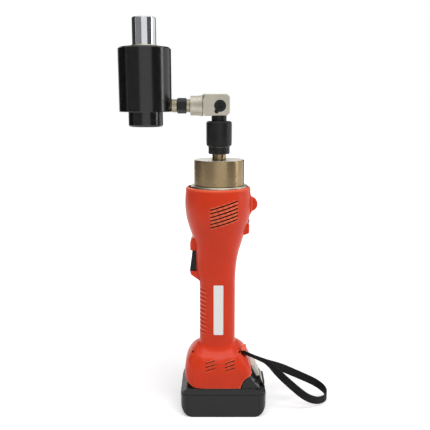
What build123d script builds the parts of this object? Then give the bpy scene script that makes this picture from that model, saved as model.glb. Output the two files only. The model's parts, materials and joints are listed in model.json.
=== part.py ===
from build123d import *
from math import cos, radians, sin, tan
import os

os.makedirs("parts", exist_ok=True)

# Cordless hydraulic hole punch: a battery pump handle, a quick coupler, a swivel elbow and a ram.
# Sizes are in millimetres. +Z is up, +X points to the battery latch and -Y to the near side.
# The origin is on the pump axis, at the flat bottom of the battery.

# Fits and clearances
running_fit = 0.05        # radial clearance of a piece that turns or slides in another
seat_gap = 0.1            # gap between a piece and the pocket that holds it
loose_gap = 0.4           # gap between neighbours that only pass each other

# Battery pack
cell_diameter = 18.0
cell_length = 64.8
cell_pitch = 18.2
cell_row_rise = 15.6
holder_plate = 2.0
holder_gap = 1.0          # from the cell holder to the side wall of the case
battery_wall = 2.1
battery_length = 110.0
cells_per_row = int((battery_length - 2 * battery_wall - cell_pitch / 2) // cell_pitch)   # as many as fit
battery_width = cell_length + 2 * (holder_plate + holder_gap + battery_wall)
battery_middle_x = 5.75
battery_seam_z = 30.0     # top of the lower case
battery_cover_rise = 8.0  # from the seam up to the shoulder
battery_corner = 11.1     # upright corners, seen from above
battery_end_round = 11.0  # lower ends, seen from the side
battery_step = 0.8        # the cover is set back by this much from the case
tower_width = 54.0
tower_rise = 22.0         # from the shoulder up to the top of the sliding tower
tower_left_x = -41.5
tower_round = 14.0         # upright corners of the tower, at the end that goes in first
tower_front_wall = 5.5
tower_shoulder_x = 36.0   # the tower is narrow from here to the end that carries the latch
ridge_width = 31.0        # of the narrow stretch
slope_reach = 13.2        # how far the end of the cover slopes out on its way down
slope_low_x = battery_middle_x + battery_length / 2 - battery_step
slope_top_x = slope_low_x - slope_reach
end_block_width = 70.0
wing_knee = (13.7, 12.8)  # from the foot of the slope back and up to the bend in the end block's top
wing_foot = (3.2, 2.8)    # from the foot of the slope back and up to the lower end of that top
groove_depth = 4.0
groove_height = 5.0
groove_lift = 8.0         # from the shoulder up to the groove
blade_y = 14.0
blade_thickness = 1.0
blade_length = 16.0
blade_depth = 8.0
latch_depth = 17.0        # from the top of the slope back to the latch's inner end
latch_left_x = slope_top_x - latch_depth
latch_width = 24.0
latch_height = 14.5
latch_travel = 4.0
latch_proud = 0.6
latch_wall = 4.0          # between the latch and the hollow of the tower
tower_cavity_right_x = latch_left_x - latch_wall

# Casing, from the battery up to its rim
casing_wall = 2.5
skirt_rise = 18.0
dome_rise = 35.0
grip_length = 79.5
grip_front_x = -25.0
grip_back_x = 21.0
grip_half_depth = 19.5
grip_corner = 14.0
shoulder_rise = 122.0     # from the top of the grip up to the rim
foot_front_x = -45.0
foot_back_x = 43.0
foot_half_depth = 36.0
foot_corner = 22.0
foot_heel_round = 19.0    # rounded lower corner of the foot, on the trigger side
rail_reach = 3.6          # how far the battery rails reach into the grooves
rail_left_x = -23.0
rail_right_x = 20.0
dome_taper = 6.0          # degrees
dome_round = 15.0
head_axis_x = -1.2
rim_radius = 40.0
rim_round = 2.5
# Radius of the head and waist, and how far below the rim each one lies
head_outline = [
    (rim_radius + 0.7, rim_round),
    (rim_radius + 1.6, 20.0),
    (rim_radius - 3.0, 48.5),
    (rim_radius - 12.6, 79.5),
    (rim_radius - 22.0, shoulder_rise),
]
lip_half_width = 11.4
wedge_half_width = 9.5
cheek_front_x = -29.6     # front edge of the walls beside the trigger
lip_front_x = -37.6

# Controls
trigger_bottom = 15.1     # from the top of the grip up to the trigger
trigger_height = 30.5
trigger_half_width = 8.4
trigger_travel = 4.5
trigger_stem_radius = 3.0
release_below_rim = 20.5
release_radius = 9.2
release_thickness = 9.0
release_travel = 3.5
release_pin_radius = 2.0
led_below_rim = 42.5
led_radius = 2.4

# Pump, gears and motor, measured down and up from the rim
pump_block_radius = 29.5
pump_block_length = 31.5
pump_neck_radius = 23.0
pump_neck_length = 12.0
chamber_radius = 17.0
chamber_depth = 22.0
flange_radius = 35.5
flange_thickness = 4.0
collar_radius = 31.4
collar_height = 31.5
collar_top_wall = 11.0
gearbox_length = 20.0
gearbox_radius = 22.0
gearbox_floor = 3.5
gear_module = 0.7
sun_teeth = 12
planet_teeth = 18
ring_teeth = 48
gear_width = 9.0
planet_count = 3
carrier_plate = 3.5
output_radius = 5.0
eccentric_offset = 2.0
eccentric_radius = 8.0
bearing_radius = 13.0
bearing_width = 10.0
motor_length = 46.0
motor_radius = 18.0
motor_wall = 1.5
motor_endbell = 6.0
rotor_radius = 15.0
rotor_stack = 26.0
motor_shaft_radius = 2.0
plunger_radius = 4.0

# Quick coupler, stacked above the collar
nipple_radius = 8.5
nipple_height = 7.0
thread_radius = 6.5
ring_radius = 13.25
ring_height = 9.0
coupler_tube_radius = 11.0
coupler_bore_radius = 8.0
sleeve_radius = 15.75
sleeve_height = 31.0
sleeve_travel = 5.0
sleeve_bevel = 1.8
sleeve_spring_room = 13.0
sleeve_spring_wire = 1.4
snap_ring_height = 1.4
ball_radius = 1.75
ball_count = 6
tip_radius = 9.25
tip_height = 6.5

# Swivel elbow and the connection to the ram
elbow_height = 26.0
elbow_depth = 26.0
elbow_left_x = -20.0
elbow_right_x = 13.0
elbow_bevel = 3.6
port_lift = 12.0          # from the elbow's underside up to the axis of the ram's port
stub_radius = 12.0
stub_length = 9.0
neck_length = 6.0
neck_radius = 12.9
stem_radius = 6.0
stem_length = 13.0
plug_radius = 7.2
plug_length = 4.0
lock_screw_radius = 2.8
adapter_radius = 8.0
stub_adapter_length = 5.0
nut_length = 11.0
nut_across_flats = 16.5
port_adapter_length = 7.0

# Ram
cylinder_radius = 32.0
cylinder_bore_radius = 23.0
cylinder_height = 76.0
cylinder_below_port = 7.5
cylinder_bevel = 1.6
gland_thickness = 14.0
port_depth = 7.0
rod_radius = 14.5
rod_reach = 35.0
piston_height = 20.0
ram_stroke = 22.0
stud_radius = 9.0
stud_depth = 30.0
wiper_radius = 18.0
wiper_height = 1.0
cap_radius = 21.0
cap_drop = 18.0
cap_spigot = 10.0
cap_wall = 4.0
return_spring_wire = 4.0

# Wrist strap
strap_width = 11.0
strap_thickness = 1.6

# Heights and places worked out from the sizes above
shoulder_z = battery_seam_z + battery_cover_rise
tower_top_z = shoulder_z + tower_rise
foot_z = shoulder_z + loose_gap
dome_z = foot_z + skirt_rise
grip_z = dome_z + dome_rise
grip_top_z = grip_z + grip_length
rim_z = grip_top_z + shoulder_rise
trigger_z = grip_top_z + trigger_bottom
release_z = rim_z - release_below_rim
led_z = rim_z - led_below_rim
pump_base_z = rim_z - pump_block_length
gearbox_z = pump_base_z - gearbox_length
motor_z = gearbox_z - motor_length
collar_z = rim_z + flange_thickness
collar_top_z = collar_z + collar_height
ring_z = collar_top_z + nipple_height
sleeve_z = ring_z + ring_height
sleeve_top_z = sleeve_z + sleeve_height
elbow_z = sleeve_top_z + tip_height
port_z = elbow_z + port_lift
stub_x = elbow_left_x - neck_length
stub_end_x = stub_x - stub_length
nut_x = stub_end_x - stub_adapter_length
port_adapter_x = nut_x - nut_length
cylinder_face_x = port_adapter_x - port_adapter_length
cylinder_x = cylinder_face_x - cylinder_radius
cylinder_z = port_z - cylinder_below_port
cylinder_top_z = cylinder_z + cylinder_height
gland_z = cylinder_top_z - gland_thickness


def save(piece, name):
    """Labels a finished sub-part and writes it under its node's name."""
    piece.part.label = name
    export_step(piece.part, f"parts/{name}.step")


def slab(x_range, y_range, z_range, mode=Mode.ADD):
    """A box between two values on each axis."""
    lows = [values[0] for values in (x_range, y_range, z_range)]
    spans = [values[1] - values[0] for values in (x_range, y_range, z_range)]
    with Locations(tuple(lows)):
        Box(*spans, align=(Align.MIN, Align.MIN, Align.MIN), mode=mode)


def rod_z(x, y, z, radius, length, mode=Mode.ADD):
    """An upright cylinder standing on a point."""
    with Locations((x, y, z)):
        Cylinder(radius, length, align=(Align.CENTER, Align.CENTER, Align.MIN), mode=mode)


def rod_x(x, y, z, radius, length, mode=Mode.ADD):
    """A cylinder that runs along +X from a point."""
    with Locations(Location((x, y, z), (0, 90, 0))):
        Cylinder(radius, length, align=(Align.CENTER, Align.CENTER, Align.MIN), mode=mode)


def rod_y(x, y, z, radius, length, mode=Mode.ADD):
    """A cylinder that runs along +Y from a point."""
    with Locations(Location((x, y, z), (-90, 0, 0))):
        Cylinder(radius, length, align=(Align.CENTER, Align.CENTER, Align.MIN), mode=mode)


def side_shape(points, half_width, mode=Mode.ADD):
    """A side-view outline, as X and Z pairs, made as thick as two half widths about the split plane."""
    with BuildSketch(Plane.XZ) as outline:
        with BuildLine():
            Polyline(*points, close=True)
        make_face()
    extrude(outline.sketch, amount=half_width, both=True, mode=mode)


def coil_spring(x, y, z, radius, wire, turns, height):
    """An upright compression spring whose ends lie between z and z plus height."""
    run = height - wire
    with BuildPart() as spring:
        with BuildLine() as coil:
            Helix(run / turns, run, radius, center=(x, y, z + wire / 2))
        with BuildSketch(Plane(coil.line @ 0, z_dir=coil.line % 0)):
            Circle(wire / 2)
        sweep(is_frenet=True)
    return spring


# Casing
def rounded_block(x_range, half_depth, corner, z, height, inset=0.0, taper=0.0):
    """An upright block with rounded corners, drawn in by an inset and tapered as it rises."""
    width = x_range[1] - x_range[0] - 2 * inset
    depth = 2 * (half_depth - inset)
    with BuildSketch(Plane.XY.offset(z)) as outline:
        with Locations((sum(x_range) / 2, 0)):
            RectangleRounded(width, depth, corner - inset)
    extrude(outline.sketch, amount=height, taper=taper)


def handle_body(inset, roll):
    """The casing's outer shape with a rolled rim, or its hollow where an inset is given."""
    foot_x = (foot_front_x, foot_back_x)
    head_line = [(radius - inset, rim_z - depth) for radius, depth in head_outline]
    with BuildPart() as body:
        rounded_block(foot_x, foot_half_depth, foot_corner, dome_z, dome_rise - inset, inset, dome_taper)
        fillet(body.edges().group_by(Axis.Z)[-1], dome_round - inset)
        rounded_block(foot_x, foot_half_depth, foot_corner, foot_z, skirt_rise, inset)
        rounded_block((grip_front_x, grip_back_x), grip_half_depth, grip_corner, dome_z,
                      dome_rise + grip_length + shoulder_rise / 4, inset)
        with BuildSketch(Plane.XZ) as head:
            with BuildLine():
                rim_edge = (head_line[0][0] - roll, head_line[0][1] + roll)
                bottom = (0, head_line[-1][1])
                ThreePointArc(*head_line[:3])
                ThreePointArc(*head_line[2:])
                Polyline(head_line[-1], bottom, (0, rim_edge[1]), rim_edge)
                if roll > 0:
                    CenterArc((rim_edge[0], head_line[0][1]), roll, 0, 90)
            make_face()
        revolve(head.sketch.moved(Location((head_axis_x, 0, 0))), Axis((head_axis_x, 0, 0), (0, 0, 1)))
    return body


# Lower right cut of the foot, which the end block of the battery fills
end_cut = [
    (foot_back_x - 15.8, foot_z),
    (foot_back_x - 13.6, foot_z + 6.0),
    (foot_back_x - 9.7, foot_z + 13.0),
    (foot_back_x - 4.5, foot_z + 16.0),
    (foot_back_x + 5.0, foot_z + 22.0),
]

# Casing screws: X and Z of each boss, from the far side in the grip and the near side in the foot
boss_radius = 4.0
screw_radius = 1.7
screw_head_radius = 3.2
screw_head_height = 2.4
screw_length = 24.0
top_screw_x = 11.0
top_screw_lift = 13.0
low_screw_x = 9.0
low_screw_lift = 34.0
front_screw_x = -13.0
front_screw_lift = 59.0
left_foot_inset = 11.5
left_foot_drop = 11.5
right_foot_inset = 16.5
right_foot_drop = 10.0
grip_screws = [
    (top_screw_x, grip_top_z + top_screw_lift),
    (low_screw_x, grip_z + low_screw_lift),
    (front_screw_x, grip_z + front_screw_lift),
]
foot_screws = [
    (foot_front_x + left_foot_inset, grip_z - left_foot_drop),
    (foot_back_x - right_foot_inset, grip_z - right_foot_drop),
]
screw_seat_y = 13.0

# Vents
vent_start_y = 22.0       # the vents are cut outwards from this far off the split plane
head_vent_count = 6
head_vent_pitch = 4.5
head_vent_length = 34.5
head_vent_width = 1.6
head_vent_tilt = 17.0
head_vent_x = 6.0
head_vent_z = rim_z - 28.0
foot_vent_count = 3
foot_vent_pitch = 4.6
foot_vent_length = 13.4
foot_vent_width = 1.6
foot_vent_x = (-11.0, 13.8)
foot_vent_lift = 30.0
foot_vent_z = foot_z + foot_vent_lift

# Wrist strap: the middle of the webbing, out along the front strand and back along the other
strap_points = [
    (31.5, -27.2, 81.8),
    (41.0, -27.0, 76.2),
    (51.0, -23.0, 70.4),
    (63.5, -18.3, 64.0),
    (78.0, -17.4, 47.5),
    (96.0, -19.0, 32.0),
    (114.5, -17.5, 16.5),
    (129.0, -12.0, 9.0),
    (140.0, -5.0, 7.0),
    (147.0, 4.5, 8.0),
    (145.0, 14.5, 12.0),
    (133.0, 18.0, 20.5),
    (110.5, 12.0, 33.0),
    (82.0, 0.0, 49.5),
    (64.2, -15.2, 63.0),
    (51.2, -20.4, 69.4),
    (41.2, -24.4, 75.0),
    (31.5, -24.6, 81.0),
]
strap_pocket_x = strap_points[0][0] - seat_gap
strap_pocket_y = (strap_points[0][1] - strap_thickness / 2 - loose_gap,
                  strap_points[-1][1] + strap_thickness / 2 + loose_gap)
strap_pocket_z = (strap_points[0][2] - strap_width - 1.0, strap_points[0][2] + strap_width / 2 + 1.0)
strap_boss_wall = 3.0

outer_shape = handle_body(0.0, rim_round)
hollow_shape = handle_body(casing_wall, 0.0)

lip_trim = 3.0            # the lips start this far inside the trigger's opening, which trims them
upper_lip = [
    (grip_front_x, trigger_z + trigger_height + 20.0),
    (lip_front_x + 5.0, trigger_z + trigger_height + 15.5),
    (lip_front_x + 0.8, trigger_z + trigger_height + 11.5),
    (lip_front_x, trigger_z + trigger_height + 9.0),
    (lip_front_x, trigger_z + trigger_height - lip_trim),
    (grip_front_x, trigger_z + trigger_height - lip_trim),
]
lower_lip = [
    (grip_front_x + 4.0, trigger_z + lip_trim),
    (lip_front_x, trigger_z + lip_trim),
    (lip_front_x, trigger_z - loose_gap - 2.8),
    (grip_front_x, grip_top_z + 0.5),
    (grip_front_x + 4.0, grip_top_z + 0.5),
]
cheeks = [
    (grip_front_x + 4.0, trigger_z - loose_gap - 1.0),
    (cheek_front_x, trigger_z - loose_gap - 1.0),
    (cheek_front_x, trigger_z + trigger_height + loose_gap + 1.0),
    (grip_front_x + 4.0, trigger_z + trigger_height + loose_gap + 1.0),
]
wedge_inset = 1.7          # from the rim's outline to the wedge's face
wedge_top_drop = 45.5
wedge_edge_drop = 59.0
wedge_chin_inset = 2.8
wedge_chin_drop = 61.7
wedge_foot_drop = 64.5
wedge_face_x = rim_radius - wedge_inset
wedge = [
    (grip_back_x, rim_z - wedge_top_drop),
    (wedge_face_x, rim_z - wedge_top_drop),
    (wedge_face_x, rim_z - wedge_edge_drop),
    (wedge_face_x - wedge_chin_inset, rim_z - wedge_chin_drop),
    (grip_back_x, rim_z - wedge_foot_drop),
]
lamp_x = rim_radius - 7.4
lamp_length = 6.2
switch_left_x = grip_front_x + 3.5
switch_length = 17.5
switch_half_width = 9.0
switch_z = grip_top_z + 5.0
switch_height = 19.0
stem_z = trigger_z + 3.5
deck_z = tower_top_z + loose_gap
deck_thickness = 4.6
deck_half_width = 31.0
deck_left_x = -35.0
deck_right_x = 30.0
rail_low_z = shoulder_z + groove_lift + loose_gap
rail_high_z = shoulder_z + groove_lift + groove_height - loose_gap
rail_inner_y = tower_width / 2 - rail_reach
skirt_inner_y = foot_half_depth - casing_wall

with BuildPart() as bosses:
    for x, z in grip_screws + foot_screws:
        rod_y(x, -foot_half_depth, z, boss_radius, 2 * foot_half_depth)
    slab((strap_pocket_x - strap_boss_wall, foot_back_x),
         (-foot_half_depth, strap_pocket_y[1] + strap_boss_wall),
         (strap_pocket_z[0] - strap_boss_wall, strap_pocket_z[1] + strap_boss_wall))
    add(outer_shape.part, mode=Mode.INTERSECT)

with BuildPart() as casing:
    add(outer_shape.part)
    side_shape(upper_lip, lip_half_width)
    side_shape(lower_lip, lip_half_width)
    side_shape(cheeks, lip_half_width)
    side_shape(wedge, wedge_half_width)
    add(hollow_shape.part, mode=Mode.SUBTRACT)
    rod_z(0, 0, rim_z - 2 * casing_wall, pump_block_radius + seat_gap, 3 * casing_wall, Mode.SUBTRACT)
    for side in (-1, 1):
        rail_y = sorted((side * rail_inner_y, side * (skirt_inner_y + casing_wall / 2)))
        slab((rail_left_x, rail_right_x), rail_y, (rail_low_z, rail_high_z))
        ledge_y = sorted((side * (tower_width / 2 + 1.0), side * (skirt_inner_y + casing_wall / 2)))
        slab((rail_left_x, rail_right_x), ledge_y, (deck_z - 4.0, deck_z - seat_gap))
        cheek_y = sorted((side * (switch_half_width + seat_gap), side * (grip_half_depth - casing_wall / 2)))
        slab((switch_left_x + 9.0, switch_left_x + 15.0), cheek_y, (switch_z + 3.0, switch_z + 9.0))
    add(bosses.part)
    for side, places in ((1, grip_screws), (-1, foot_screws)):
        for x, z in places:
            shank_y = sorted((side * screw_seat_y, side * (screw_seat_y - screw_length)))[0]
            head_y = sorted((side * screw_seat_y, side * (screw_seat_y + screw_length)))[0]
            rod_y(x, shank_y, z, screw_radius + running_fit, screw_length, Mode.SUBTRACT)
            rod_y(x, head_y, z, screw_head_radius + seat_gap, screw_length, Mode.SUBTRACT)
    trigger_room = trigger_half_width + loose_gap
    slab((lip_front_x - 2.0, grip_front_x + 6.0), (-trigger_room, trigger_room),
         (trigger_z - loose_gap, trigger_z + trigger_height + loose_gap), Mode.SUBTRACT)
    button_room = release_radius + loose_gap
    slab((pump_block_radius, rim_radius + release_radius),
         (-release_thickness / 2 - loose_gap, release_thickness / 2 + loose_gap),
         (release_z - button_room, release_z + button_room), Mode.SUBTRACT)
    rod_x(lamp_x - casing_wall, 0, led_z, led_radius + running_fit, 3 * lamp_length, Mode.SUBTRACT)
    for side in (-1, 1):
        with BuildSketch(Plane.XZ.offset(-side * vent_start_y)):
            with Locations((head_vent_x, head_vent_z)):
                with GridLocations(1, head_vent_pitch, 1, head_vent_count):
                    SlotOverall(head_vent_length, head_vent_width, rotation=head_vent_tilt)
            for middle_x in foot_vent_x:
                with Locations((middle_x, foot_vent_z)):
                    with GridLocations(1, foot_vent_pitch, 1, foot_vent_count):
                        SlotOverall(foot_vent_length, foot_vent_width, rotation=head_vent_tilt)
        extrude(amount=-side * rim_radius, mode=Mode.SUBTRACT)
    heel_corner = (foot_front_x, foot_z)
    with BuildSketch(Plane.XZ):
        with Locations(heel_corner):
            Rectangle(foot_heel_round, foot_heel_round, align=(Align.MIN, Align.MIN))
        with Locations((foot_front_x + foot_heel_round, foot_z + foot_heel_round)):
            Circle(foot_heel_round, mode=Mode.SUBTRACT)
    extrude(amount=2 * foot_half_depth, both=True, mode=Mode.SUBTRACT)
    side_shape(end_cut + [(foot_back_x + 5.0, foot_z)], 2 * foot_half_depth, Mode.SUBTRACT)
    slab((rail_right_x, foot_back_x + 5.0), (-tower_width / 2 - loose_gap, tower_width / 2 + loose_gap),
         (foot_z - loose_gap, tower_top_z + 2.0), Mode.SUBTRACT)
    slab((strap_pocket_x, foot_back_x + 5.0), strap_pocket_y, strap_pocket_z, Mode.SUBTRACT)

with BuildPart() as near_shell:
    add(casing.part)
    split(bisect_by=Plane.XZ, keep=Keep.TOP)
save(near_shell, "near_shell")

with BuildPart() as far_shell:
    add(casing.part)
    split(bisect_by=Plane.XZ, keep=Keep.BOTTOM)
save(far_shell, "far_shell")


# Fasteners, plate and controls on the casing
with BuildPart() as shell_screws:
    for side, places in ((1, grip_screws), (-1, foot_screws)):
        for x, z in places:
            shank_y = min(side * screw_seat_y, side * (screw_seat_y - screw_length))
            head_y = min(side * screw_seat_y, side * (screw_seat_y + screw_head_height))
            rod_y(x, shank_y, z, screw_radius, screw_length)
            rod_y(x, head_y, z, screw_head_radius, screw_head_height)
save(shell_screws, "shell_screws")

label_width = 12.3
label_height = 66.0
label_thickness = 0.6
label_middle_x = -0.6
label_middle_z = grip_top_z - label_height / 2
with BuildPart() as label_plate:
    with BuildSketch(Plane.XZ.offset(grip_half_depth)):
        with Locations((label_middle_x, label_middle_z)):
            RectangleRounded(label_width, label_height, 1.0)
    extrude(amount=label_thickness)
save(label_plate, "label_plate")

trigger_rear_x = switch_left_x - trigger_travel - 1.0
trigger_top_z = trigger_z + trigger_height
stem_reach = 6.0          # how far the stem reaches into the switch at rest
trigger_outline = [
    (lip_front_x + 0.2, trigger_z),
    (lip_front_x + 1.5, trigger_z + 0.30 * trigger_height),
    (lip_front_x + 3.3, trigger_z + 0.75 * trigger_height),
    (lip_front_x + 4.0, trigger_top_z),
    (trigger_rear_x, trigger_top_z),
    (trigger_rear_x, trigger_z),
]
with BuildPart() as trigger:
    side_shape(trigger_outline, trigger_half_width)
    fillet(trigger.faces().sort_by(Axis.X)[0:3].edges().filter_by(Plane.XZ), 1.2)
    rod_x(trigger_rear_x, 0, stem_z, trigger_stem_radius, switch_left_x - trigger_rear_x + stem_reach)
save(trigger, "trigger")

with BuildPart() as switch_module:
    slab((switch_left_x, switch_left_x + switch_length), (-switch_half_width, switch_half_width),
         (switch_z, switch_z + switch_height))
    rod_x(switch_left_x, 0, stem_z, trigger_stem_radius + running_fit,
          stem_reach + trigger_travel + 1.0, Mode.SUBTRACT)
save(switch_module, "switch_module")

release_flange_x = pump_block_radius + release_travel + 0.9
release_flange = 1.7
release_middle_x = rim_radius - 0.7
with BuildPart() as release_button:
    with BuildSketch(Plane.XZ):
        with Locations((release_middle_x, release_z)):
            Circle(release_radius)
    extrude(amount=release_thickness / 2, both=True)
    slab((0, release_flange_x + release_flange), (-release_thickness, release_thickness),
         (release_z - 2 * release_radius, release_z + 2 * release_radius), Mode.SUBTRACT)
    fillet(release_button.edges().filter_by(GeomType.CIRCLE), 1.2)
    slab((release_flange_x, release_flange_x + release_flange), (-7.0, 7.0),
         (release_z - release_radius - 2.2, release_z + release_radius + 2.2))
save(release_button, "release_button")

release_pin_engaged = 6.0
release_pin_x = pump_block_radius - release_pin_engaged
with BuildPart() as release_pin:
    rod_x(release_pin_x, 0, release_z, release_pin_radius, release_flange_x - release_pin_x)
save(release_pin, "release_pin")

with BuildPart() as status_led:
    rod_x(lamp_x, 0, led_z, led_radius, lamp_length)
    fillet(status_led.edges().sort_by(Axis.X)[-1], 0.8)
save(status_led, "status_led")

# Pump
plunger_z = pump_base_z + chamber_depth / 2
tube_radius = 7.0
tube_seat = 9.0
journal_radius = 4.0
journal_depth = 6.0
neck_top_z = rim_z + pump_neck_length
tube_z = neck_top_z - tube_seat
socket_depth = 8.0
passage_radius = 2.0
with BuildPart() as pump_block:
    rod_z(0, 0, pump_base_z, pump_block_radius, pump_block_length)
    rod_z(0, 0, rim_z, pump_neck_radius, pump_neck_length)
    rod_z(0, 0, pump_base_z, chamber_radius, chamber_depth, Mode.SUBTRACT)
    rod_z(0, 0, pump_base_z + chamber_depth, journal_radius + running_fit, journal_depth, Mode.SUBTRACT)
    rod_z(0, 0, tube_z, tube_radius + running_fit, tube_seat, Mode.SUBTRACT)
    rod_z(0, 0, pump_base_z, passage_radius, pump_block_length + pump_neck_length, Mode.SUBTRACT)
    rod_y(0, chamber_radius - 1.0, plunger_z, plunger_radius + running_fit, pump_block_radius, Mode.SUBTRACT)
    rod_x(release_pin_x - release_travel - 1.0, 0, release_z, release_pin_radius + running_fit,
          pump_block_radius, Mode.SUBTRACT)
save(pump_block, "pump_block")

bearing_reach = eccentric_offset + bearing_radius
plunger_y = bearing_reach + loose_gap
plunger_length = 9.0
with BuildPart() as pump_plunger:
    rod_y(0, plunger_y, plunger_z, plunger_radius, plunger_length)
save(pump_plunger, "pump_plunger")

plug_y = plunger_y + plunger_length + seat_gap
with BuildPart() as plunger_plug:
    rod_y(0, plug_y, plunger_z, plunger_radius, pump_block_radius - 0.6 - plug_y)
save(plunger_plug, "plunger_plug")

with BuildPart() as flange_ring:
    rod_z(0, 0, rim_z, flange_radius, flange_thickness)
    rod_z(0, 0, rim_z, pump_neck_radius + running_fit, flange_thickness, Mode.SUBTRACT)
    chamfer(flange_ring.edges().group_by(Axis.Z)[-1].sort_by(SortBy.RADIUS)[-1], 0.8)
save(flange_ring, "flange_ring")

collar_roof_z = collar_top_z - collar_top_wall
with BuildPart() as pump_collar:
    rod_z(0, 0, collar_z, collar_radius, collar_height)
    chamfer(pump_collar.edges().group_by(Axis.Z)[-1], 0.6)
    rod_z(0, 0, collar_z, pump_neck_radius + running_fit, collar_height - collar_top_wall, Mode.SUBTRACT)
    rod_z(0, 0, collar_roof_z, tube_radius + running_fit, collar_top_wall - socket_depth, Mode.SUBTRACT)
    rod_z(0, 0, collar_top_z - socket_depth, thread_radius + running_fit, socket_depth, Mode.SUBTRACT)
save(pump_collar, "pump_collar")

with BuildPart() as pressure_tube:
    rod_z(0, 0, tube_z, tube_radius, collar_top_z - socket_depth - tube_z)
    rod_z(0, 0, tube_z, passage_radius, collar_height, Mode.SUBTRACT)
save(pressure_tube, "pressure_tube")

with BuildPart() as reservoir_bladder:
    bladder_z = neck_top_z + seat_gap
    rod_z(0, 0, bladder_z, pump_neck_radius - loose_gap, collar_roof_z - seat_gap - bladder_z)
    rod_z(0, 0, bladder_z, tube_radius + loose_gap, collar_height, Mode.SUBTRACT)
    fillet(reservoir_bladder.edges().filter_by(GeomType.CIRCLE), 1.5)
save(reservoir_bladder, "reservoir_bladder")


# Planetary gears, with straight-sided teeth
def gear_outline(teeth, tip_radius, root_radius, first_tooth):
    """Corner points of a toothed wheel, with one tooth centred on the first angle, in degrees."""
    pitch_angle = 360 / teeth
    corners = []
    for tooth in range(teeth):
        middle = first_tooth + tooth * pitch_angle
        flanks = [(-0.30, root_radius), (-0.13, tip_radius), (0.13, tip_radius), (0.30, root_radius)]
        for share, radius in flanks:
            angle = radians(middle + share * pitch_angle)
            corners.append((radius * cos(angle), radius * sin(angle)))
    return corners


def toothed_wheel(centre, z, height, outline, mode=Mode.ADD):
    """A toothed prism standing at a point."""
    with BuildSketch(Plane.XY.offset(z)) as wheel:
        with BuildLine():
            Polyline(*[(centre[0] + x, centre[1] + y) for x, y in outline], close=True)
        make_face()
    extrude(wheel.sketch, amount=height, mode=mode)


addendum = 0.8 * gear_module
dedendum = 1.1 * gear_module
sun_pitch = gear_module * sun_teeth / 2
planet_pitch = gear_module * planet_teeth / 2
ring_pitch = gear_module * ring_teeth / 2
planet_orbit = sun_pitch + planet_pitch
gear_z = gearbox_z + gearbox_floor + loose_gap
carrier_z = gear_z + gear_width + loose_gap
pin_radius = 2.0

with BuildPart() as ring_gear:
    rod_z(0, 0, gearbox_z, gearbox_radius, gearbox_length)
    toothed_wheel((0, 0), gearbox_z + gearbox_floor, gearbox_length,
                  gear_outline(ring_teeth, ring_pitch + dedendum, ring_pitch - addendum, 180 / ring_teeth),
                  Mode.SUBTRACT)
    rod_z(0, 0, gearbox_z, sun_pitch, gearbox_floor, Mode.SUBTRACT)
save(ring_gear, "ring_gear")

planet_angles = [index * 360 / planet_count for index in range(planet_count)]
planet_places = [(planet_orbit * cos(radians(a)), planet_orbit * sin(radians(a))) for a in planet_angles]
for index, (angle, place) in enumerate(zip(planet_angles, planet_places), start=1):
    with BuildPart() as planet_gear:
        toothed_wheel(place, gear_z, gear_width,
                      gear_outline(planet_teeth, planet_pitch + addendum, planet_pitch - dedendum,
                                   angle + 180 / planet_teeth))
        rod_z(place[0], place[1], gear_z, pin_radius + running_fit, gear_width, Mode.SUBTRACT)
    save(planet_gear, f"planet_gear_{index}")

with BuildPart() as sun_gear:
    toothed_wheel((0, 0), gear_z, gear_width,
                  gear_outline(sun_teeth, sun_pitch + addendum, sun_pitch - dedendum, 0))
    rod_z(0, 0, gear_z, motor_shaft_radius + running_fit, gear_width, Mode.SUBTRACT)
save(sun_gear, "sun_gear")

eccentric_z = pump_base_z + 5.0
eccentric_height = bearing_width + 2.0
with BuildPart() as planet_carrier:
    rod_z(0, 0, carrier_z, ring_pitch - addendum - loose_gap, carrier_plate)
    for x, y in planet_places:
        rod_z(x, y, gear_z, pin_radius, gear_width + loose_gap)
    rod_z(0, 0, carrier_z, output_radius, eccentric_z - carrier_z)
    rod_z(eccentric_offset, 0, eccentric_z, eccentric_radius, eccentric_height)
    journal_top_z = pump_base_z + chamber_depth + journal_depth - loose_gap
    rod_z(0, 0, eccentric_z, journal_radius, journal_top_z - eccentric_z)
save(planet_carrier, "planet_carrier")

with BuildPart() as eccentric_bearing:
    rod_z(eccentric_offset, 0, plunger_z - bearing_width / 2, bearing_radius, bearing_width)
    rod_z(eccentric_offset, 0, plunger_z - bearing_width / 2, eccentric_radius + running_fit, bearing_width,
          Mode.SUBTRACT)
save(eccentric_bearing, "eccentric_bearing")

# Motor
can_z = motor_z + motor_endbell
with BuildPart() as motor_can:
    rod_z(0, 0, can_z, motor_radius, gearbox_z - can_z)
    rod_z(0, 0, can_z, motor_radius - motor_wall, gearbox_z - can_z - motor_wall, Mode.SUBTRACT)
    rod_z(0, 0, can_z, motor_shaft_radius + running_fit, gearbox_z - can_z, Mode.SUBTRACT)
save(motor_can, "motor_can")

with BuildPart() as motor_endbell_piece:
    rod_z(0, 0, motor_z, motor_radius, motor_endbell)
    rod_z(0, 0, motor_z + 1.0, motor_shaft_radius + running_fit, motor_endbell, Mode.SUBTRACT)
    chamfer(motor_endbell_piece.edges().group_by(Axis.Z)[0], 1.0)
save(motor_endbell_piece, "motor_endbell")

stack_z = can_z + (gearbox_z - motor_wall - can_z - rotor_stack) / 2
with BuildPart() as motor_rotor:
    rod_z(0, 0, motor_z + 1.0 + seat_gap, motor_shaft_radius, gear_z + gear_width - motor_z - 1.0 - seat_gap)
    rod_z(0, 0, stack_z, rotor_radius, rotor_stack)
save(motor_rotor, "motor_rotor")

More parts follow.
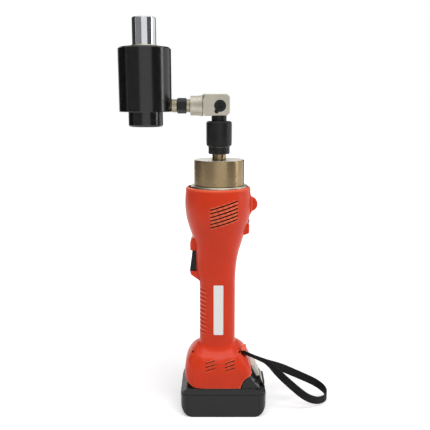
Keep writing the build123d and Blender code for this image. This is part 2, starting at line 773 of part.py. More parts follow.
# Quick coupler
with BuildPart() as coupler_nipple:
    rod_z(0, 0, collar_top_z, nipple_radius, nipple_height)
    rod_z(0, 0, collar_top_z - socket_depth, thread_radius, socket_depth + nipple_height + ring_height)
    rod_z(0, 0, collar_top_z - socket_depth, passage_radius, 2 * sleeve_height, Mode.SUBTRACT)
save(coupler_nipple, "coupler_nipple")

bore_floor = 8.0          # from the sleeve's foot up to the floor of the bore for the tip
ball_z = sleeve_z + 20.0
snap_z = sleeve_z + 26.0
tube_height = sleeve_height - 2.0
snap_inner_radius = coupler_tube_radius - 0.4
snap_outer_radius = coupler_tube_radius + 1.7
ball_orbit = coupler_tube_radius - seat_gap - ball_radius
ball_angles = [index * 360 / ball_count for index in range(ball_count)]
with BuildPart() as coupler_body:
    rod_z(0, 0, ring_z, ring_radius, ring_height)
    chamfer(coupler_body.edges(), 0.6)
    rod_z(0, 0, sleeve_z, coupler_tube_radius, tube_height)
    rod_z(0, 0, ring_z, thread_radius + running_fit, ring_height, Mode.SUBTRACT)
    rod_z(0, 0, ring_z, passage_radius, ring_height + bore_floor, Mode.SUBTRACT)
    rod_z(0, 0, sleeve_z + bore_floor, coupler_bore_radius, tube_height, Mode.SUBTRACT)
    for angle in ball_angles:
        with Locations(Plane((0, 0, ball_z), z_dir=(cos(radians(angle)), sin(radians(angle)), 0))):
            Cylinder(ball_radius + running_fit, 2 * coupler_tube_radius,
                     align=(Align.CENTER, Align.CENTER, Align.MIN), mode=Mode.SUBTRACT)
    with BuildSketch(Plane.XY.offset(snap_z)):
        Circle(2 * coupler_tube_radius)
        Circle(snap_inner_radius, mode=Mode.SUBTRACT)
    extrude(amount=snap_ring_height, mode=Mode.SUBTRACT)
save(coupler_body, "coupler_body")

with BuildPart() as coupler_balls:
    for angle in ball_angles:
        with Locations((ball_orbit * cos(radians(angle)), ball_orbit * sin(radians(angle)), ball_z)):
            Sphere(ball_radius)
save(coupler_balls, "coupler_balls")

with BuildPart() as snap_ring:
    with BuildSketch(Plane.XY.offset(snap_z)):
        Circle(snap_outer_radius)
        Circle(snap_inner_radius, mode=Mode.SUBTRACT)
        with Locations((snap_outer_radius, 0)):
            Rectangle(6.0, 5.0, mode=Mode.SUBTRACT)
    extrude(amount=snap_ring_height)
save(snap_ring, "snap_ring")

with BuildPart() as coupler_sleeve:
    rod_z(0, 0, sleeve_z, sleeve_radius, sleeve_height)
    chamfer(coupler_sleeve.edges().filter_by(GeomType.CIRCLE), sleeve_bevel)
    rod_z(0, 0, sleeve_z, ring_radius + loose_gap, sleeve_spring_room, Mode.SUBTRACT)
    rod_z(0, 0, sleeve_z, coupler_tube_radius + running_fit, sleeve_height, Mode.SUBTRACT)
    rod_z(0, 0, snap_z, snap_outer_radius + loose_gap, sleeve_height, Mode.SUBTRACT)
save(coupler_sleeve, "coupler_sleeve")

sleeve_spring_radius = (coupler_tube_radius + ring_radius + loose_gap) / 2
sleeve_spring = coil_spring(0, 0, sleeve_z, sleeve_spring_radius, sleeve_spring_wire, 4, sleeve_spring_room)
save(sleeve_spring, "sleeve_spring")

tip_shank_radius = coupler_bore_radius - running_fit
tip_shank_z = sleeve_z + bore_floor + 1.0
ball_groove = 4.4
spigot_radius = 6.0
spigot_height = 8.0
with BuildPart() as coupler_tip:
    rod_z(0, 0, sleeve_top_z, tip_radius, tip_height)
    rod_z(0, 0, tip_shank_z, tip_shank_radius, sleeve_top_z - tip_shank_z)
    with BuildSketch(Plane.XY.offset(ball_z - ball_groove / 2)):
        Circle(tip_radius)
        Circle(ball_orbit - ball_radius - seat_gap, mode=Mode.SUBTRACT)
    extrude(amount=ball_groove, mode=Mode.SUBTRACT)
    rod_z(0, 0, elbow_z, spigot_radius, spigot_height)
    rod_z(0, 0, tip_shank_z, passage_radius, 2 * sleeve_height, Mode.SUBTRACT)
save(coupler_tip, "coupler_tip")

# Swivel elbow
plug_x = 1.2
lock_x = plug_x - 4.2
lock_z = port_z - 6.4
lock_length = 5.0
half_depth = elbow_depth / 2
elbow_outline = [
    (elbow_left_x, elbow_z),
    (elbow_right_x - elbow_bevel, elbow_z),
    (elbow_right_x, elbow_z + elbow_bevel),
    (elbow_right_x, elbow_z + elbow_height - elbow_bevel),
    (elbow_right_x - elbow_bevel, elbow_z + elbow_height),
    (elbow_left_x, elbow_z + elbow_height),
]
with BuildPart() as elbow_block:
    side_shape(elbow_outline, half_depth)
    chamfer(elbow_block.faces().filter_by(Axis.Y).edges(), 0.8)
    rod_z(0, 0, elbow_z, spigot_radius + running_fit, spigot_height, Mode.SUBTRACT)
    rod_z(0, 0, elbow_z, passage_radius, port_lift, Mode.SUBTRACT)
    rod_x(elbow_left_x, 0, port_z, stem_radius + running_fit, stem_length, Mode.SUBTRACT)
    rod_x(elbow_left_x, 0, port_z, passage_radius, -elbow_left_x, Mode.SUBTRACT)
    rod_y(plug_x, -half_depth, port_z, plug_radius + running_fit, plug_length, Mode.SUBTRACT)
    rod_y(lock_x, -half_depth, lock_z, lock_screw_radius + running_fit, lock_length, Mode.SUBTRACT)
save(elbow_block, "elbow_block")

socket_width = 6.0
with BuildPart() as elbow_plug:
    rod_y(plug_x, -half_depth, port_z, plug_radius, plug_length)
    rod_y(lock_x, -half_depth, lock_z, lock_screw_radius + seat_gap, lock_length, Mode.SUBTRACT)
    with BuildSketch(Plane.XZ.offset(half_depth)):
        with Locations((plug_x, port_z)):
            RegularPolygon(socket_width / 2, 6, major_radius=False)
    extrude(amount=-2.6, mode=Mode.SUBTRACT)
save(elbow_plug, "elbow_plug")

with BuildPart() as lock_screw:
    rod_y(lock_x, -half_depth, lock_z, lock_screw_radius, lock_length)
    slab((lock_x - 0.5, lock_x + 0.5), (-half_depth, -half_depth + 1.0),
         (lock_z - lock_screw_radius, lock_z + lock_screw_radius), Mode.SUBTRACT)
save(lock_screw, "lock_screw")

stub_thread_radius = 5.0
stub_thread = 7.0
seal_x = elbow_left_x + 6.5
seal_wire = 0.65
seal_groove = 1.8
seal_seat_radius = stem_radius - 2 * seal_wire - seat_gap
with BuildPart() as swivel_stub:
    rod_x(stub_end_x, 0, port_z, stub_radius, stub_length)
    with Locations(Location((stub_x, 0, port_z), (0, 90, 0))):
        Cone(stub_radius, neck_radius, neck_length - seat_gap, align=(Align.CENTER, Align.CENTER, Align.MIN))
    rod_x(stub_x, 0, port_z, stem_radius, neck_length + stem_length - loose_gap)
    with BuildSketch(Plane.YZ.offset(seal_x - seal_groove / 2)):
        with Locations((0, port_z)):
            Circle(stub_radius)
            Circle(seal_seat_radius, mode=Mode.SUBTRACT)
    extrude(amount=seal_groove, mode=Mode.SUBTRACT)
    rod_x(stub_end_x, 0, port_z, stub_thread_radius + running_fit, stub_thread, Mode.SUBTRACT)
    rod_x(stub_end_x, 0, port_z, passage_radius, 2 * stub_radius + stem_length, Mode.SUBTRACT)
save(swivel_stub, "swivel_stub")

with BuildPart() as swivel_seal:
    with Locations(Location((seal_x, 0, port_z), (0, 90, 0))):
        Torus(stem_radius - seal_wire - seat_gap / 2, seal_wire)
save(swivel_seal, "swivel_seal")

# Connection to the ram
union_thread = 5.0
with BuildPart() as stub_adapter:
    rod_x(nut_x, 0, port_z, adapter_radius, stub_adapter_length)
    chamfer(stub_adapter.edges().filter_by(GeomType.CIRCLE), 0.6)
    rod_x(nut_x - union_thread, 0, port_z, stub_thread_radius, union_thread + stub_adapter_length + stub_thread)
    rod_x(nut_x - union_thread, 0, port_z, passage_radius, 2 * stub_radius, Mode.SUBTRACT)
save(stub_adapter, "stub_adapter")

with BuildPart() as union_nut:
    with BuildSketch(Plane.YZ.offset(port_adapter_x)):
        with Locations((0, port_z)):
            RegularPolygon(nut_across_flats / 2, 6, major_radius=False, rotation=30)
            Circle(stub_thread_radius + running_fit, mode=Mode.SUBTRACT)
    extrude(amount=nut_length)
save(union_nut, "union_nut")

port_thread = port_depth - 0.2
with BuildPart() as port_adapter:
    rod_x(cylinder_face_x, 0, port_z, adapter_radius, port_adapter_length)
    chamfer(port_adapter.edges().filter_by(GeomType.CIRCLE), 0.6)
    rod_x(port_adapter_x, 0, port_z, stub_thread_radius, union_thread)
    rod_x(cylinder_face_x - port_thread, 0, port_z, thread_radius, port_thread)
    rod_x(cylinder_face_x - port_thread, 0, port_z, passage_radius, 2 * stub_radius, Mode.SUBTRACT)
save(port_adapter, "port_adapter")

# Ram
wiper_depth = 4.0
piston_gap = 3.0          # oil space above the piston when the rod is out
piston_top_z = gland_z - piston_gap
piston_z = piston_top_z - piston_height
rod_top_z = cylinder_top_z + rod_reach
drill_radius = 2.0
drill_x = cylinder_x + (cylinder_radius + cylinder_bore_radius) / 2
with BuildPart() as cylinder_barrel:
    rod_z(cylinder_x, 0, cylinder_z, cylinder_radius, cylinder_height)
    chamfer(cylinder_barrel.edges().group_by(Axis.Z)[-1], cylinder_bevel)
    chamfer(cylinder_barrel.edges().group_by(Axis.Z)[0], 0.6)
    rod_z(cylinder_x, 0, cylinder_z, cylinder_bore_radius, cylinder_height - gland_thickness, Mode.SUBTRACT)
    rod_z(cylinder_x, 0, gland_z, rod_radius + running_fit, gland_thickness, Mode.SUBTRACT)
    rod_z(cylinder_x, 0, cylinder_top_z - wiper_depth, wiper_radius + running_fit, wiper_depth, Mode.SUBTRACT)
    rod_x(cylinder_face_x - port_depth, 0, port_z, thread_radius + running_fit, cylinder_radius, Mode.SUBTRACT)
    rod_z(drill_x, 0, port_z, drill_radius, gland_z - port_z, Mode.SUBTRACT)
    rod_x(cylinder_x, 0, gland_z - piston_gap / 2, piston_gap / 2 - seat_gap, drill_x - cylinder_x, Mode.SUBTRACT)
save(cylinder_barrel, "cylinder_barrel")

with BuildPart() as rod_wiper:
    rod_z(cylinder_x, 0, cylinder_top_z - wiper_depth, wiper_radius, wiper_depth + wiper_height)
    rod_z(cylinder_x, 0, cylinder_top_z - wiper_depth, rod_radius + running_fit, 2 * wiper_depth, Mode.SUBTRACT)
    chamfer(rod_wiper.edges().group_by(Axis.Z)[-1].sort_by(SortBy.RADIUS)[-1], 0.7)
save(rod_wiper, "rod_wiper")

ring_groove = 5.0
ring_depth = 3.0
ring_groove_z = piston_z + (piston_height - ring_groove) / 2
piston_radius = cylinder_bore_radius - running_fit
with BuildPart() as piston_rod:
    rod_z(cylinder_x, 0, piston_z, rod_radius, rod_top_z - piston_z)
    chamfer(piston_rod.edges().group_by(Axis.Z)[-1], 1.0)
    rod_z(cylinder_x, 0, piston_z, piston_radius, piston_height)
    with BuildSketch(Plane.XY.offset(ring_groove_z)):
        with Locations((cylinder_x, 0)):
            Circle(cylinder_radius)
            Circle(piston_radius - ring_depth, mode=Mode.SUBTRACT)
    extrude(amount=ring_groove, mode=Mode.SUBTRACT)
    rod_z(cylinder_x, 0, rod_top_z - stud_depth, stud_radius, stud_depth, Mode.SUBTRACT)
save(piston_rod, "piston_rod")

with BuildPart() as piston_seal:
    rod_z(cylinder_x, 0, ring_groove_z, piston_radius, ring_groove)
    rod_z(cylinder_x, 0, ring_groove_z, piston_radius - ring_depth, ring_groove, Mode.SUBTRACT)
save(piston_seal, "piston_seal")

cap_floor_z = cylinder_z - cap_drop + cap_wall
with BuildPart() as cylinder_cap:
    rod_z(cylinder_x, 0, cylinder_z - cap_drop, cap_radius, cap_drop)
    fillet(cylinder_cap.edges().group_by(Axis.Z)[0], 2.6)
    rod_z(cylinder_x, 0, cylinder_z, piston_radius, cap_spigot)
    rod_z(cylinder_x, 0, cap_floor_z, cap_radius - cap_wall, cylinder_height, Mode.SUBTRACT)
save(cylinder_cap, "cylinder_cap")

return_spring_radius = cap_radius - cap_wall - 1.0 - return_spring_wire / 2
return_spring = coil_spring(cylinder_x, 0, cap_floor_z, return_spring_radius, return_spring_wire, 6,
                            piston_z - cap_floor_z)
save(return_spring, "return_spring")


# Battery pack
def pack_block(z, height, inset, end_round, side_round):
    """A block of the battery's plan, drawn in by an inset, with rounded lower ends and sides."""
    half_length = battery_length / 2 - inset
    half_width = battery_width / 2 - inset
    with BuildPart() as block:
        with BuildSketch(Plane.XY.offset(z)):
            with Locations((battery_middle_x, 0)):
                RectangleRounded(2 * half_length, 2 * half_width, battery_corner - inset)
        extrude(amount=height)
        with BuildSketch(Plane.XZ) as side:
            with Locations((battery_middle_x, z)):
                Rectangle(2 * half_length, height, align=(Align.CENTER, Align.MIN))
            fillet(side.vertices().group_by(Axis.Y)[0], end_round)
        extrude(amount=battery_width, both=True, mode=Mode.INTERSECT)
        with BuildSketch(Plane.YZ) as end:
            with Locations((0, z)):
                Rectangle(2 * half_width, height, align=(Align.CENTER, Align.MIN))
            fillet(end.vertices().group_by(Axis.Y)[0], side_round)
        extrude(amount=battery_length, both=True, mode=Mode.INTERSECT)
    return block


case_outer = pack_block(0, battery_seam_z, 0, battery_end_round, 3.0)
case_hollow = pack_block(battery_wall, battery_seam_z, battery_wall, battery_end_round - battery_wall, 0.9)
with BuildPart() as battery_case:
    add(case_outer.part)
    add(case_hollow.part, mode=Mode.SUBTRACT)
save(battery_case, "battery_case")

deck_inner_z = shoulder_z - battery_wall
slope_low_z = battery_seam_z + 2.0
slope_run = (slope_low_x - slope_top_x) / (tower_top_z - slope_low_z)   # X gained for each mm down
end_gap = 1.2
end_outline = [(x + end_gap, z) for x, z in end_cut[:-1]] + [
    (slope_low_x - wing_knee[0], slope_low_z + wing_knee[1]),
    (slope_low_x - wing_foot[0], slope_low_z + wing_foot[1]),
    (slope_low_x, slope_low_z),
    (end_cut[0][0] + end_gap, slope_low_z),
]
tower_outline = [
    (tower_left_x, slope_low_z),
    (tower_left_x, tower_top_z),
    (tower_shoulder_x, tower_top_z),
    (tower_shoulder_x, slope_low_z),
]
ridge_outline = [
    (tower_shoulder_x, slope_low_z),
    (tower_shoulder_x, tower_top_z),
    (slope_top_x, tower_top_z),
    (slope_low_x, slope_low_z),
]
tower_inner_half = tower_width / 2 - groove_depth - battery_wall
groove_z = shoulder_z + groove_lift
blade_x = deck_left_x + 1.0
blade_slot = blade_thickness / 2 + loose_gap
shelf_z = shoulder_z + 4.0
shelf_thickness = 2.0
latch_z = tower_top_z - 0.5 - latch_height
latch_room = latch_width / 2 + loose_gap
sill_x = slope_top_x + 5.0
cover_block = pack_block(battery_seam_z, battery_cover_rise, battery_step, 0.01, 0.01)
cover_hollow = pack_block(battery_seam_z, battery_cover_rise - battery_wall, battery_step + battery_wall,
                          0.01, 0.01)
with BuildPart() as battery_cover:
    add(cover_block.part)
    side_shape(tower_outline, tower_width / 2)
    tower_edges = battery_cover.edges().filter_by(Axis.Z)
    fillet(tower_edges.filter_by_position(Axis.X, tower_left_x - 0.1, tower_left_x + 0.1), tower_round)
    side_shape(ridge_outline, ridge_width / 2)
    side_shape(end_outline, end_block_width / 2)
    add(cover_hollow.part, mode=Mode.SUBTRACT)
    slab((tower_left_x + tower_front_wall, tower_cavity_right_x), (-tower_inner_half, tower_inner_half),
         (battery_seam_z, tower_top_z - battery_wall), Mode.SUBTRACT)
    slab((tower_left_x + tower_front_wall - 0.5, blade_x + blade_length + 3.0),
         (-tower_inner_half - 0.5, tower_inner_half + 0.5), (shelf_z, shelf_z + shelf_thickness))
    for side in (-1, 1):
        groove_y = sorted((side * (tower_width / 2 - groove_depth), side * tower_width))
        slab((tower_left_x - 1.0, rail_right_x + 4.0), groove_y, (groove_z, groove_z + groove_height),
             Mode.SUBTRACT)
        slab((tower_left_x - 1.0, blade_x + blade_length + 1.0),
             (side * blade_y - blade_slot, side * blade_y + blade_slot),
             (deck_z - blade_depth - 1.0, deck_z), Mode.SUBTRACT)
    slab((latch_left_x - loose_gap, sill_x), (-latch_room, latch_room), (shoulder_z, tower_top_z + 1.0),
         Mode.SUBTRACT)
    slab((sill_x - 0.1, 2 * slope_low_x), (-latch_room, latch_room),
         (latch_z - latch_travel - loose_gap, tower_top_z + 1.0), Mode.SUBTRACT)
save(battery_cover, "battery_cover")

latch_top_z = latch_z + latch_height
latch_top_x = slope_top_x + slope_run * (tower_top_z - latch_top_z) + latch_proud
latch_low_x = slope_top_x + slope_run * (tower_top_z - latch_z) + latch_proud
latch_outline = [
    (latch_left_x, latch_z),
    (latch_left_x, latch_top_z),
    (latch_top_x, latch_top_z),
    (latch_low_x, latch_z),
]
with BuildPart() as battery_latch:
    side_shape(latch_outline, latch_width / 2)
    fillet(battery_latch.faces().sort_by(Axis.X)[-1].edges(), 1.0)
save(battery_latch, "battery_latch")

latch_spring_x = latch_left_x + 9.0
latch_spring = coil_spring(latch_spring_x, 0, shoulder_z, 3.0, 0.8, 3, latch_z - shoulder_z)
save(latch_spring, "latch_spring")

cell_radius = cell_diameter / 2
cell_low_z = battery_wall + seat_gap + cell_radius
cell_first_x = battery_middle_x - (cells_per_row - 1) / 2 * cell_pitch - cell_pitch / 4
with BuildPart() as battery_cells:
    for row in range(2):
        for column in range(cells_per_row):
            rod_y(cell_first_x + column * cell_pitch + row * cell_pitch / 2, -cell_length / 2,
                  cell_low_z + row * cell_row_rise, cell_radius, cell_length)
save(battery_cells, "battery_cells")

holder_length = battery_length - 2 * battery_corner - 8.0
with BuildPart() as cell_holder:
    for side in (-1, 1):
        plate_y = sorted((side * (cell_length / 2 + seat_gap), side * (cell_length / 2 + holder_plate)))
        slab((battery_middle_x - holder_length / 2, battery_middle_x + holder_length / 2), plate_y,
             (battery_wall + 1.0, deck_inner_z - seat_gap))
save(cell_holder, "cell_holder")

contact_z = shelf_z + shelf_thickness
contact_top_z = tower_top_z - battery_wall - seat_gap
contact_half = 2.2
with BuildPart() as battery_terminals:
    for side in (-1, 1):
        slab((tower_left_x + tower_front_wall + seat_gap, blade_x + blade_length + 1.0),
             (side * blade_y - contact_half, side * blade_y + contact_half), (contact_z, contact_top_z))
        slab((tower_left_x, blade_x + blade_length + 2.0),
             (side * blade_y - blade_slot, side * blade_y + blade_slot),
             (deck_z - blade_depth - 1.0, tower_top_z), Mode.SUBTRACT)
save(battery_terminals, "battery_terminals")

# Electrics in the foot
post_height = 3.0
board_thickness = 1.6
board_x = (-24.0, 16.0)
board_half_width = 19.0
chip_margin = 3.0
chip_length = 14.0
chip_half_width = 12.0
chip_height = 6.0
capacitor_inset = 9.0
capacitor_y = 8.0
capacitor_radius = 4.0
capacitor_height = 8.0
relay_inset = 5.0
relay_length = 9.0
relay_y = (-12.0, -2.0)
relay_height = 4.0
deck_top_z = deck_z + deck_thickness
board_z = deck_top_z + post_height
with BuildPart() as terminal_block:
    with BuildSketch(Plane.XY.offset(deck_z)):
        with Locations(((deck_left_x + deck_right_x) / 2, 0)):
            RectangleRounded(deck_right_x - deck_left_x, 2 * deck_half_width, foot_corner)
    extrude(amount=deck_thickness)
    for x in (board_x[0] + 4.0, board_x[1] - 4.0):
        for y in (-board_half_width + 4.0, board_half_width - 4.0):
            rod_z(x, y, deck_top_z, 2.0, post_height)
save(terminal_block, "terminal_block")

with BuildPart() as terminal_blades:
    for side in (-1, 1):
        slab((blade_x, blade_x + blade_length),
             (side * blade_y - blade_thickness / 2, side * blade_y + blade_thickness / 2),
             (deck_z - blade_depth, deck_z))
save(terminal_blades, "terminal_blades")

with BuildPart() as control_board:
    slab(board_x, (-board_half_width, board_half_width), (board_z, board_z + board_thickness))
    slab((board_x[0] + chip_margin, board_x[0] + chip_margin + chip_length), (-chip_half_width, chip_half_width),
         (board_z, board_z + chip_height))
    rod_z(board_x[1] - capacitor_inset, capacitor_y, board_z, capacitor_radius, capacitor_height)
    slab((board_x[1] - relay_inset - relay_length, board_x[1] - relay_inset), relay_y,
         (board_z, board_z + relay_height))
save(control_board, "control_board")

# Wrist strap, a flat webbing whose width stays upright
corner_radii = []
for before, corner, after in zip(strap_points, strap_points[1:], strap_points[2:]):
    run_in = Vector(corner) - Vector(before)
    run_out = Vector(after) - Vector(corner)
    half_turn = radians(run_in.get_angle(run_out)) / 2
    corner_radii.append(0.45 * min(run_in.length, run_out.length) / tan(half_turn))
print("strap radii", [round(radius, 1) for radius in corner_radii])
with BuildPart() as wrist_strap:
    with BuildLine() as strap_route:
        FilletPolyline(*strap_points, radius=corner_radii)
    first_run = strap_route.line % 0
    level_run = Vector(first_run.X, first_run.Y, 0)
    across = level_run.cross(Vector(0, 0, 1))
    with BuildSketch(Plane(strap_route.line @ 0, x_dir=across, z_dir=level_run)):
        Rectangle(strap_thickness, strap_width)
    strap_wire = strap_route.wires()[0]
    sweep(path=strap_wire, binormal=strap_wire.moved(Location((0, 0, strap_width))))
save(wrist_strap, "wrist_strap")
strap_length = strap_wire.length
print("strap length", strap_length, "volume", wrist_strap.part.volume, "section times length",
      strap_width * strap_thickness * strap_length)
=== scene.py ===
import json
import math

import bmesh
import bpy
from bpy.props import FloatProperty, FloatVectorProperty, IntProperty, PointerProperty
from mathutils import Matrix, Vector


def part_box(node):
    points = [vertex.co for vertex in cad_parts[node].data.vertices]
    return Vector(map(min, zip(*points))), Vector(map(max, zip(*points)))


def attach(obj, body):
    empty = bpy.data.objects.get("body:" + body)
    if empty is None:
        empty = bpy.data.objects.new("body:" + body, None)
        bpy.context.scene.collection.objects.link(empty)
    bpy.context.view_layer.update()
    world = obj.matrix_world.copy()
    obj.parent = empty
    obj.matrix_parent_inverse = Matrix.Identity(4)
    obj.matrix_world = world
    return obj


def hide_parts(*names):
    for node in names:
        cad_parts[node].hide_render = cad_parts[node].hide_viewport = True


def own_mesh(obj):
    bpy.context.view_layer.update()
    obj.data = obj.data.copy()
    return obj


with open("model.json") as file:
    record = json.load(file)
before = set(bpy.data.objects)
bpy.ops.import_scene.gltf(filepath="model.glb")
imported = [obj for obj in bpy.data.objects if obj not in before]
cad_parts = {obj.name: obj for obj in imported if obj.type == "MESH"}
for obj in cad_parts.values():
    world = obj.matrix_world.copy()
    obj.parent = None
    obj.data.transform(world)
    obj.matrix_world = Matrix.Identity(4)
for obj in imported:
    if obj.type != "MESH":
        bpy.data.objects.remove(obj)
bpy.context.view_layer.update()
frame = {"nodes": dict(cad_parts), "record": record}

bl_info = {
    "name": "Cordless hydraulic hole punch",
    "version": (1, 0, 0),
    "blender": (4, 5, 0),
    "location": "3D View > Sidebar > Hole Punch",
    "description": "Dresses the hole punch with its casing, ram, coupler, battery and strap",
    "category": "Object",
}

MM = 0.001
FULL_TURN = 2 * math.pi
QUARTER_TURN = math.pi / 2
Y_AXIS, Z_AXIS = 1, 2


def colour_property(name, description, default):
    """A colour as it looks on a screen, which the user may change."""
    return FloatVectorProperty(name=name, description=description, subtype="COLOR_GAMMA",
                               size=3, min=0.0, max=1.0, default=default)


def length_property(name, description, default):
    """A length in metres, which the user may change."""
    return FloatProperty(name=name, description=description, default=default, unit="LENGTH")


class PunchFinishes(bpy.types.PropertyGroup):
    """Colours of the hole punch's finishes."""
    casing: colour_property("Casing", "Orange of the moulded casing", (0.875, 0.235, 0.105))
    battery: colour_property("Battery", "Charcoal of the battery", (0.135, 0.135, 0.14))
    control: colour_property("Controls", "Black of the trigger", (0.05, 0.05, 0.055))
    latch: colour_property("Latch", "Pale grey of the battery latch", (0.92, 0.90, 0.85))
    plate: colour_property("Plate", "White of the bare plate on the grip", (0.93, 0.93, 0.92))
    collar: colour_property("Collar", "Plated steel of the pump collar", (0.605, 0.525, 0.40))
    elbow: colour_property("Elbow", "Nickel of the swivel elbow", (0.71, 0.69, 0.635))
    zinc: colour_property("Zinc", "Yellow zinc of the nipples", (0.60, 0.575, 0.50))
    oxide: colour_property("Oxide", "Black oxide of coupler and nut", (0.075, 0.075, 0.08))
    barrel: colour_property("Barrel", "Black of the ram's barrel", (0.035, 0.035, 0.038))
    chrome: colour_property("Chrome", "Chrome of the ram's rod", (0.86, 0.87, 0.88))
    webbing: colour_property("Webbing", "Black of the wrist strap", (0.042, 0.040, 0.045))


class PunchSizes(bpy.types.PropertyGroup):
    """Sizes of the details that dress the solids."""
    casing_wall: length_property("Casing wall", "Thickness of the moulded casing", 0.0025)
    seam_gap: length_property("Seam gap", "Half of the gap between the casing's halves", 0.00012)
    rib_pitch: length_property("Rib pitch", "Spacing of the ribs on the grip's front", 0.0056)
    rib_height: length_property("Rib height", "Depth of the grooves between the ribs", 0.0016)
    edge_round: length_property("Edge round", "Bevel of the turned metal's edges", 0.0004)
    turning_steps: IntProperty(
        name="Turning steps", description="Faces around a turned piece", default=112, min=24)
    strap_width: length_property("Strap width", "Width of the webbing", 0.0106)
    strap_thickness: length_property("Strap thickness", "Thickness of the webbing", 0.0015)


def finishes():
    """The colours that the scene holds."""
    return bpy.context.scene.punch_finishes


def sizes():
    """The sizes that the scene holds."""
    return bpy.context.scene.punch_sizes


# Materials

NOISE_ROUGHNESS = 0.55
GRAIN_DEPTH = 0.00003
RING_BLUR = 6.0
EDGE_WEAR = (0.52, 0.60)
PLASTIC_EDGE_GAIN = 1.12
METAL_EDGE_GAIN = 1.1
WEAVE_PICK, WEAVE_COLUMN = 0.00125, 0.00155
BOARD_MASK, BOARD_TRACKS = (0.02, 0.11, 0.04, 1.0), (0.05, 0.22, 0.08, 1.0)
# Sockets of a Mix node that take and give colours.
MIX_FIRST, MIX_SECOND, MIX_RESULT = 6, 7, 2


def linear(colour, gain=1.0):
    """A screen colour as the light value that shaders take."""
    parts = [c / 12.92 if c <= 0.04045 else ((c + 0.055) / 1.055) ** 2.4 for c in colour]
    return (*(min(1.0, part * gain) for part in parts), 1.0)


def filled(node, **inputs):
    """A shader node with values set on its inputs, such as From_Min=0.3."""
    for name, value in inputs.items():
        node.inputs[name.replace("_", " ")].default_value = value
    return node


class Finish:
    """A shader tree with short calls for the nodes that the finishes share."""

    def __init__(self, name):
        self.material = bpy.data.materials.new(name)
        self.material.use_nodes = True
        self.tree = self.material.node_tree
        self.shader = self.tree.nodes["Principled BSDF"]
        self.place = self.node("TexCoord").outputs["Object"]

    def node(self, kind, **inputs):
        return filled(self.tree.nodes.new("ShaderNode" + kind), **inputs)

    def link(self, source, target):
        self.tree.links.new(source, target)

    def stretched(self, scale):
        """Object coordinates scaled along each axis."""
        node = self.node("Mapping", Scale=scale)
        self.link(self.place, node.inputs["Vector"])
        return node.outputs["Vector"]

    def noise(self, scale, detail=3.0, vector=None):
        node = self.node("TexNoise", Scale=scale, Detail=detail, Roughness=NOISE_ROUGHNESS)
        self.link(vector or self.place, node.inputs["Vector"])
        return node.outputs["Fac"]

    def rings(self, axis, lines):
        """Fine rings from a lathe, spaced along an axis."""
        scale = [RING_BLUR] * 3
        scale["XYZ".index(axis)] = lines
        return self.noise(1.0, 2.0, self.stretched(scale))

    def pits(self, scale):
        """Distance to scattered points, for specks and pits."""
        node = self.node("TexVoronoi", Scale=scale)
        self.link(self.place, node.inputs["Vector"])
        return node.outputs["Distance"]

    def attribute(self, name):
        """A value that the mesh holds at its points."""
        node = self.node("Attribute")
        node.attribute_name = name
        return node.outputs["Fac"]

    def ranged(self, value, from_low, from_high, to_low=0.0, to_high=1.0):
        node = self.node("MapRange", From_Min=from_low, From_Max=from_high,
                         To_Min=to_low, To_Max=to_high)
        self.link(value, node.inputs["Value"])
        return node.outputs["Result"]

    def patches(self, scale, detail, low, high):
        """Soft patches from 0 to 1, where a noise passes from a low to a high value."""
        return self.ranged(self.noise(scale, detail), low, high)

    def math(self, operation, first, second):
        node = self.node("Math")
        node.operation = operation
        for socket, value in zip(node.inputs, (first, second)):
            if isinstance(value, (int, float)):
                socket.default_value = value
            else:
                self.link(value, socket)
        return node.outputs["Value"]

    def waves(self, value, pitch):
        """A sine that repeats each time the value grows by a pitch."""
        return self.math("SINE", self.math("MULTIPLY", value, FULL_TURN / pitch), 0.0)

    def mixed(self, factor, first, second):
        """A colour between two others, each a colour or a socket."""
        node = self.node("Mix")
        node.data_type = "RGBA"
        self.link(factor, node.inputs["Factor"])
        for index, value in ((MIX_FIRST, first), (MIX_SECOND, second)):
            if isinstance(value, tuple):
                node.inputs[index].default_value = value
            else:
                self.link(value, node.inputs[index])
        return node.outputs[MIX_RESULT]

    def wear_and_highlight_edges(self, low, high):
        """How far a point stands on an outer edge."""
        return self.ranged(self.node("NewGeometry").outputs["Pointiness"], low, high)

    def bump(self, height, distance):
        node = self.node("Bump", Distance=distance, Strength=1.0)
        self.link(height, node.inputs["Height"])
        self.link(node.outputs["Normal"], self.shader.inputs["Normal"])

    def set(self, **inputs):
        filled(self.shader, **inputs)

    def colour(self, value):
        self.link(value, self.shader.inputs["Base Color"])

    def roughness(self, value):
        self.link(value, self.shader.inputs["Roughness"])


def moulded_plastic(name, colour, rough=(0.38, 0.50), grain=2600.0, shade=0.90, gloss=0.5,
                    edge=None, wear_and_highlight_band=EDGE_WEAR):
    """Moulded plastic with a fine spark-eroded grain, slow colour drift and lighter edges: worn by
    the default gain, or a given edge colour, which on the casing is a painted highlight.
    """
    finish = Finish(name)
    drift = finish.patches(26.0, 3.0, 0.3, 0.7)
    body = finish.mixed(drift, linear(colour, shade), linear(colour))
    # On the casing the given edge colour is a painted highlight, standing in for the lamps'
    # highlight on its rim and round its vents.
    wear_and_highlight = linear(edge) if edge else linear(colour, PLASTIC_EDGE_GAIN)
    finish.colour(finish.mixed(finish.wear_and_highlight_edges(*wear_and_highlight_band), body, wear_and_highlight))
    finish.set(Specular_IOR_Level=gloss)
    finish.roughness(finish.ranged(finish.noise(70.0), 0.3, 0.7, *rough))
    finish.bump(finish.noise(grain, 2.0), GRAIN_DEPTH)
    return finish.material


